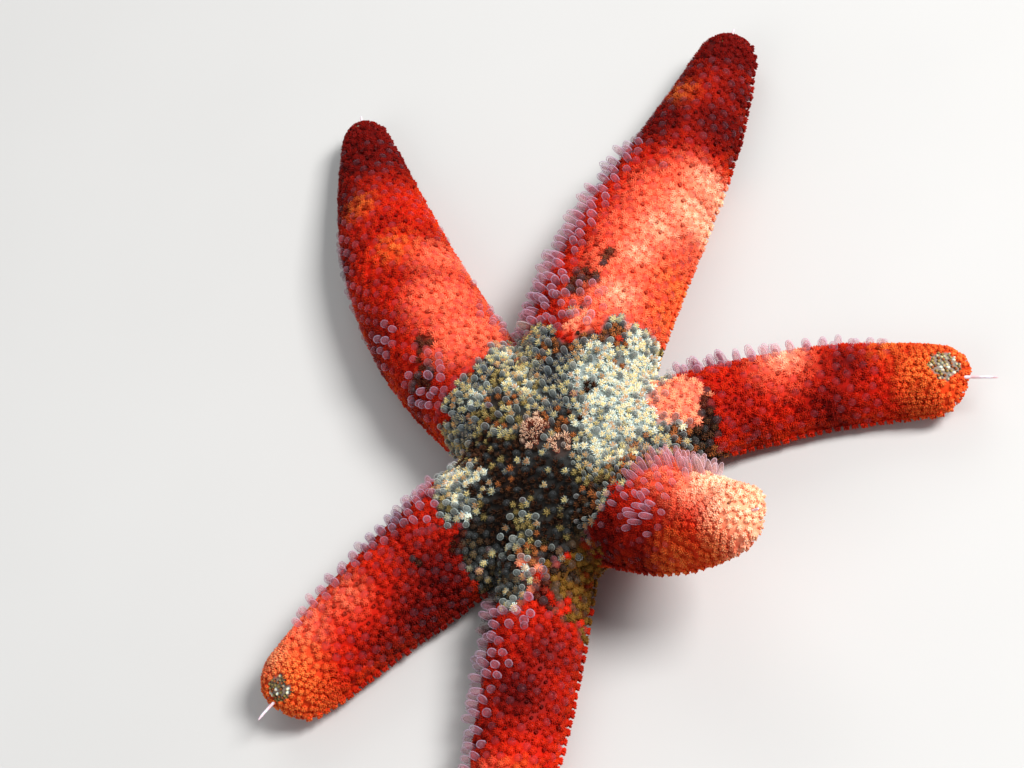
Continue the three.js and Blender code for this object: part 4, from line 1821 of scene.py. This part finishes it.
@dataclass
class Dressing:
    """Lays the lattice and grows coat and papulae on it."""

    star: StarPlan
    lattice: Lattice
    coat: Coat
    papulae: Papulae
    margin_band: tuple[float, float] = (0.93, 1.09)
    papula_limit: float = 0.88
    tooth_step: float = 0.7
    furrow_step: float = 0.6
    grain: tuple[float, float] = (0.11, 0.15)

    def edge(
        self, index: int, start: float, across: float, rise: float, step: float
    ) -> tuple[Growths, Array]:
        """Finds places in a row along an arm.

        Args:
            index: The arm's number.
            start: Where the row starts, from the disc's centre.
            across: The row's place across the arm, as a share of its half width.
            rise: Its height as a share of the arm's.
            step: The distance from one to the next.

        Returns:
            The growths, and the level outward direction at each.
        """
        line = self.star.lines[index]
        marks = np.arange(start, line.plan.reach - 0.6, step)
        root, normal, gap = self.lattice.skin.snap(line.lift_off(marks, across, rise, COAT_DEPTH))
        _, along, side, _ = line.frames(marks)
        ahead = along * (1 - line.plan.taper(marks))[:, None]
        out = unit(side * math.copysign(1.0, across) + normal * 0.5 + ahead)
        near = gap < self.lattice.touch
        return self.lattice.growths(root[near], normal[near], along[near]), out[near]

    def dress_arm(self, index: int) -> tuple[Growths, Growths]:
        """Grows one arm's coat.

        Args:
            index: The arm's number.

        Returns:
            All that stands on the arm, and where its papulae are to grow.
        """
        plan = ARMS[index]
        start = self.lattice.arm_start * plan.root
        growths, kind, girth = self.lattice.on_arm(index, start, self.lattice.step)
        kept = growths.survey.share < self.lattice.tip_share(index) - 1.2 / plan.reach
        growths, kind, girth = growths.pick(kept), kind[kept], girth[kept]
        crowded = (kind == 1) & (self.papulae.reachout(growths) > plan.crowd)
        soft = ((kind == 0) | crowded) & (girth < self.papula_limit)
        maker = MeshMaker()
        tuft = PILLOW_TUFT if plan.pillowed else ARM_TUFT
        self.coat.sow(maker, growths.pick((girth < self.margin_band[0]) & ~soft), tuft)
        for across in (-1.0, 1.0):
            teeth, out = self.edge(index, 0.55 * plan.root, across, MARGIN_HEIGHT, self.tooth_step)
            self.coat.fringe(maker, teeth, out)
        last, beads, grains = self.lattice.on_tip(index, growths.root)
        self.coat.sow(maker, last, tuft)
        self.coat.sow(maker, beads, TIP_TUFT)
        self.coat.bead(maker, grains, *self.grain)
        self.coat.finish(maker, f"coat_{plan.name}", "arm_skin")
        under = MeshMaker()
        self.coat.sow(under, growths.pick(girth >= self.margin_band[1]), ORAL_TUFT)
        for across in (-GROOVE_EDGE, GROOVE_EDGE):
            row, _ = self.edge(index, MOUTH_RADIUS + 1.2, across * 1.25, 0.04, self.furrow_step)
            self.coat.sow(under, row, FURROW_TUFT)
        self.coat.finish(under, f"oral_coat_{plan.name}", "arm_skin")
        return growths, growths.pick(soft)

    def dress_disc(self, taken: Array) -> Growths:
        """Grows the disc's coat.

        Args:
            taken: Where growths stand on the arms already.

        Returns:
            Where the disc's papulae are to grow.
        """
        places = self.lattice.on_disc(taken, self.lattice.disc_gap)
        places = places.pick(self.clear_of_sieve(places.root))
        cream = self.coat.markings.weigh(places.root, places.survey)[Pigment.CREAM]
        soft = self.lattice.apart(places.root, self.lattice.sac_gap * (1 + 0.4 * cream))
        tufts = places.pick(~soft)
        weights = self.coat.markings.weigh(tufts.root, tufts.survey, tufts.tone)
        bristly = (weights[Pigment.INK] > 0.5) | (weights[Pigment.ROSE] > 0.5)
        maker = MeshMaker()
        self.coat.sow(maker, tufts.pick(~bristly), DISC_TUFT)
        self.coat.sow(maker, tufts.pick(bristly), BRISTLE_TUFT)
        self.coat.sow(maker, self.sieve_bristles(), SIEVE_TUFT)
        self.coat.finish(maker, "coat_disc", "disc_skin")
        return places.pick(soft)

    def clear_of_sieve(self, places: Array) -> Array:
        """Which places are beyond the sieve plate's edge."""
        return np.linalg.norm((places - SievePlate.middle())[:, :2], axis=1) > SievePlate.RADIUS - 0.04

    def sieve_bristles(self) -> Growths:
        """Fine bristles on the sieve plate's ridges, thicker towards its edge."""
        turn = np.arange(SIEVE_BRISTLES) * GOLDEN_TURN
        off = SievePlate.RADIUS * np.sqrt((np.arange(SIEVE_BRISTLES) + 4) / (SIEVE_BRISTLES + 4))
        flat = np.stack([np.cos(turn), np.sin(turn), 0 * turn], axis=1)
        high = SievePlate.height_at(off / SievePlate.RADIUS)
        root = SievePlate.middle() + flat * off[:, None] + UP * high[:, None]
        normal = unit(flat * (0.8 * off / SievePlate.RADIUS)[:, None] + UP)
        return self.lattice.growths(root, normal, np.cross(normal, flat))

    def build(self) -> None:
        """Dresses the arms, then the disc."""
        dressed = [self.dress_arm(index) for index in range(len(ARMS))]
        taken = np.concatenate([all_of.root for all_of, _ in dressed])
        sacs = self.dress_disc(taken)
        both = Growths.join([soft for _, soft in dressed] + [sacs])
        self.papulae.build(both, self.papulae.reachout(both))
        under = MeshMaker()
        self.coat.sow(under, self.lattice.under_disc(taken), ORAL_TUFT)
        self.coat.finish(under, "oral_coat_disc", "disc_skin")


# Sieve plate, mouth, feet and feelers


@dataclass(frozen=True)
class SievePlate:
    """The madreporite: a low button cut by winding furrows, with a bristling edge."""

    RADIUS = 0.8
    material: Material
    furrows: int = 17
    rings: int = 26
    spokes: int = 170
    cut: float = 0.075
    skirt: float = 0.7

    @staticmethod
    def height_at(share: Array) -> Array:
        """Height of the ridges above the solid's top, at a share of the radius."""
        return 0.34 * (1 - share**2.4) - 0.2

    @staticmethod
    def middle() -> Array:
        """Middle of its solid's top."""
        low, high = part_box("madreporite")
        return np.array([(low.x + high.x) / 2, (low.y + high.y) / 2, high.z]) / MM

    def build(self) -> None:
        """Makes the button in the place of its solid."""
        share = np.linspace(0.02, 1, self.rings)
        turn = np.linspace(0, math.tau, self.spokes, endpoint=False)
        r, a = np.meshgrid(share, turn, indexing="ij")
        bend = 0.9 * np.sin(5 * r + 2 * a) + 0.5 * np.sin(9 * r - 3 * a)
        ridge = np.sin(self.furrows * a + bend) * smooth(r / 0.35)
        groove = self.cut * (0.5 + 0.5 * ridge) * (0.4 + 0.6 * smooth((1 - r) / 0.2))
        height = self.height_at(r) - groove
        rings = np.stack([self.RADIUS * r * np.cos(a), self.RADIUS * r * np.sin(a), height], axis=2)
        skirt = rings[-1:] * LEVEL - self.skirt * UP
        rings = np.concatenate([rings, skirt]) + self.middle()
        points, faces = closed_loft(rings[::-1])
        settle(mesh_object("sieve_plate", points, faces, self.material), "sieve_plate", "madreporite")


@dataclass
class Mouth:
    """The jaws: six pairs of plates round the mouth, each with spines that point inwards."""

    star: StarPlan
    material: Material
    pairs: int = 6
    radius: float = 1.75
    spines: int = 5
    plate_length: float = 1.1
    plate_radius: float = 0.3
    spine_radius: float = 0.085
    rng: Chance = seeded(61)

    def build(self) -> None:
        """Makes the jaws in the place of their solid."""
        low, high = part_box("jaws")
        level = (0.65 * low.z + 0.35 * high.z) / MM
        maker = MeshMaker()
        turn = np.repeat(math.tau * (np.arange(self.pairs) + 0.5) / self.pairs, 2)
        turn = turn + np.tile([-0.16, 0.16], self.pairs)
        out = np.stack([np.cos(turn), np.sin(turn), 0 * turn], axis=1)
        root = self.star.centre + out * (self.radius + 0.4) + UP * (level + 0.25)
        side = np.cross(out, UP)
        growths = plain_growths(root, -out, side, self.star, self.rng)
        owner = maker.add_growths(growths)
        maker.add(GRANULE, root, unit(-out - 0.25 * UP), self.plate_length, self.plate_radius, owner)
        for spine in range(self.spines):
            lean = (spine / (self.spines - 1) - 0.5) * 0.9
            way = unit(-out + side * lean - 0.35 * UP)
            base = root - out * 0.45 + side * (lean * 0.25) - 0.1 * UP
            length = self.rng.uniform(0.6, 0.8, len(root))
            maker.add(SPINE, base, way, length, self.spine_radius, owner, 1.0)
        settle(maker.make("mouth_jaws", self.material, None), "jaws", "jaws")


@dataclass
class TubeFeet:
    """Two rows of sucker-tipped feet in each arm's furrow."""

    star: StarPlan
    material: Material
    step: float = 0.72
    first: float = 3.2
    short: float = 1.2
    radius: float = 0.2
    reach: float = 0.9
    rng: Chance = seeded(71)

    def build(self) -> None:
        """Makes all the feet as one piece."""
        maker = MeshMaker()
        for line in self.star.lines:
            marks = np.arange(self.first, line.plan.reach - self.short, self.step)
            for sign in (-1.0, 1.0):
                place = marks + (0.25 * self.step if sign > 0 else 0)
                _, along, side, up = line.frames(place)
                start = line.lift_off(place, 0.1 * sign, 0.16)
                wander = self.rng.normal(scale=0.12, size=(len(place), 1))
                way = unit(-up + side * sign * 0.25 + along * wander)
                shrink = 0.55 + 0.45 * smooth((line.plan.reach - place) / 8)
                length = np.minimum(self.reach * shrink, (start[:, 2] - 0.02) / np.maximum(-way[:, 2], 0.3))
                growths = plain_growths(start, way, along, self.star, self.rng)
                maker.add(FOOT, start, way, length, self.radius * shrink, maker.add_growths(growths))
        settle(maker.make("tube_feet", self.material, None), "jaws")


@dataclass
class Feelers:
    """The terminal foot at each arm's end, which two arms stretch out."""

    star: StarPlan
    material: Material
    thick: float = 0.13
    sides: int = 12
    rings: int = 22

    def build(self) -> None:
        """Makes one feeler for each arm."""
        for line in self.star.lines:
            plan = line.plan
            foot, along, side, up = line.frames(plan.reach - 1.0)
            share = np.linspace(0, 1, self.rings)[:, None]
            path = foot + up * (0.3 * plan.widths[2]) + along * share * (plan.feeler + 1)
            path = path - UP * plan.feeler_sink * share**2
            swell = 1 - 0.35 * share + 0.06 * np.sin(share * 26)
            rounded = np.clip(1 - ((share - 0.9) / 0.101).clip(0) ** 2, 0.002, 1)
            radius = self.thick * swell * np.sqrt(rounded)
            turn = np.linspace(0, math.tau, self.sides, endpoint=False)[None, :, None]
            rings = path[:, None, :] + radius[:, None] * (np.sin(turn) * up - np.cos(turn) * side)
            rings[..., 2] = np.maximum(rings[..., 2], FLOOR_CLEARANCE)
            piece = mesh_object(f"feeler_{plan.name}", *closed_loft(rings), self.material)
            settle(piece, "tip_skin")


def plain_growths(root: Array, normal: Array, lie: Array, star: StarPlan, rng: Chance) -> Growths:
    """Growths for things that wear no markings, laid in rows on the bake's map.

    Args:
        root: Where they grow.
        normal: The way they stand.
        lie: A direction across that.
        star: The body's plan.
        rng: The chance they take their tone from.

    Returns:
        The growths.
    """
    count = len(root)
    places = np.arange(count)
    unwrap = np.stack([0.02 + 0.96 * (places % 40) / 40, 0.02 + 0.96 * (places // 40 % 40) / 40], axis=1)
    return Growths(root, normal, lie, star.survey(root), rng.uniform(size=count), np.ones(count), unwrap)


# The stage


@dataclass(frozen=True)
class Lamp:
    """A square lamp.

    Attributes:
        name: The lamp's name.
        place: Where it hangs from the star's middle, in metres.
        power: Its power in watts.
        size: Its side in metres.
    """

    name: str
    place: tuple[float, float, float]
    power: float
    size: float

    def hang(self, aim: Vector) -> None:
        """Hangs the lamp, pointing at a place."""
        data = bpy.data.lights.new(self.name, "AREA")
        data.energy = self.power
        data.size = self.size
        lamp = bpy.data.objects.new(self.name, data)
        lamp.location = aim + Vector(self.place)
        lamp.rotation_euler = (aim - lamp.location).to_track_quat("-Z", "Y").to_euler()
        bpy.context.scene.collection.objects.link(lamp)


@dataclass(frozen=True)
class Studio:
    """The pale floor, the soft lamps and the camera, which looks down on the star from the front."""

    tilt: float = 54.0
    roll: float = 30.0
    lens: float = 95.4
    sensor: float = 36.0
    away: float = 190.0
    aside: float = 3.01
    above: float = 3.92
    floor_size: float = 3.0
    sky: Colour = (0.9, 0.95, 1.0, 1.0)
    sky_strength: float = 0.35
    LAMPS = (
        Lamp("key", (0.3, -0.12, 0.36), power=3.6, size=0.16),
        Lamp("fill", (-0.4, -0.2, 0.4), power=0.7, size=0.4),
        Lamp("back", (0.1, 0.45, 0.3), power=0.7, size=0.3),
    )

    def build(self, star: StarPlan) -> None:
        """Sets the stage round the star."""
        bpy.context.scene.view_settings.view_transform = "Standard"
        self.camera(star)
        self.floor()
        self.lamps(star)

    def camera(self, star: StarPlan) -> None:
        """Places the camera by its distance from the disc's crown."""
        tilt, roll = math.radians(self.tilt), math.radians(self.roll)
        forward = Vector((0, math.cos(tilt), -math.sin(tilt)))
        level, upright = Vector((1, 0, 0)), Vector((0, math.sin(tilt), math.cos(tilt)))
        right = level * math.cos(roll) - upright * math.sin(roll)
        up = level * math.sin(roll) + upright * math.cos(roll)
        crown = Vector(star.centre) + Vector((0, 0, CROWN))
        eye = (crown - forward * self.away - right * self.aside + up * self.above) * MM
        data = bpy.data.cameras.new("camera")
        data.lens = self.lens
        data.sensor_width = self.sensor
        data.clip_start = 0.005
        camera = bpy.data.objects.new("camera", data)
        turned = Matrix((right, up, -forward)).transposed().to_4x4()
        camera.matrix_world = Matrix.Translation(eye) @ turned
        bpy.context.scene.collection.objects.link(camera)
        bpy.context.scene.camera = camera

    def floor(self) -> None:
        """Lays the pale floor."""
        half = self.floor_size / 2 / MM
        points = np.array([(-half, -half, 0), (half, -half, 0), (half, half, 0), (-half, half, 0)], float)
        material, n, shader = new_material("pale_floor")
        where = n.where()
        patchy = n.noise(where, 25, 3)
        n.feed(shader.inputs["Base Color"], n.mix(patchy, (0.5, 0.49, 0.475, 1), (0.56, 0.55, 0.535, 1)))
        shader.inputs["Roughness"].default_value = 0.7
        mesh_object("floor", points, np.array([[0, 1, 2, 3]]), material)

    def lamps(self, star: StarPlan) -> None:
        """Hangs the lamps and lights a soft sky."""
        for lamp in self.LAMPS:
            lamp.hang(Vector(star.centre) * MM)
        world = bpy.data.worlds.new("sky")
        world.use_nodes = True
        sky = {"Color": self.sky, "Strength": self.sky_strength}
        Nodes(world.node_tree).dress(world.node_tree.nodes["Background"], sky)
        bpy.context.scene.world = world


def main() -> None:
    """Builds the star's parts in order."""
    logging.basicConfig(level=logging.INFO, format="%(message)s")
    star = StarPlan()
    Studio().build(star)
    tools = Toolbox()
    markings = Markings(star)
    skin = Skin(star, markings, FleshFinish("star_skin", recess_shade=0.96, along=0.5, rough=0.6).make(tools))
    skin.build()
    coat = Coat(markings, FleshFinish("star_coat", relief=0.2).make(tools))
    wall = MembraneFinish("papula_wall", (LAVENDER, MIST), (0.56, 0.6, 0.16), (0.1, 0.08), (0.3, 0.78))
    lumen = MembraneFinish("papula_lumen", (RUSSET, SLATE_BLUE), (0.5, 0.8, 0.5), (0.16, 0.46), (0.18, 0.3))
    # The pores' darker colour is painted shade in their openings.
    pore = FleshFinish("papula_pore", recess_shade=0.4, rough=0.4).make(tools)
    papulae = Papulae(star, markings, wall.make(tools), lumen.make(tools), pore)
    Dressing(star, Lattice(star, skin), coat, papulae).build()
    SievePlate(PlateFinish("sieve_plate", linear(104, 50, 36), linear(34, 16, 14)).make(tools)).build()
    Mouth(star, PlateFinish("jaw_plate", linear(232, 176, 104), linear(206, 132, 52)).make(tools)).build()
    foot = PlateFinish("tube_foot", linear(240, 196, 140), linear(226, 160, 96))
    TubeFeet(star, foot.make(tools)).build()
    feeler = PlateFinish("feeler", linear(226, 226, 236), linear(214, 178, 182))
    Feelers(star, feeler.make(tools)).build()


if __name__ == "__main__":
    main()
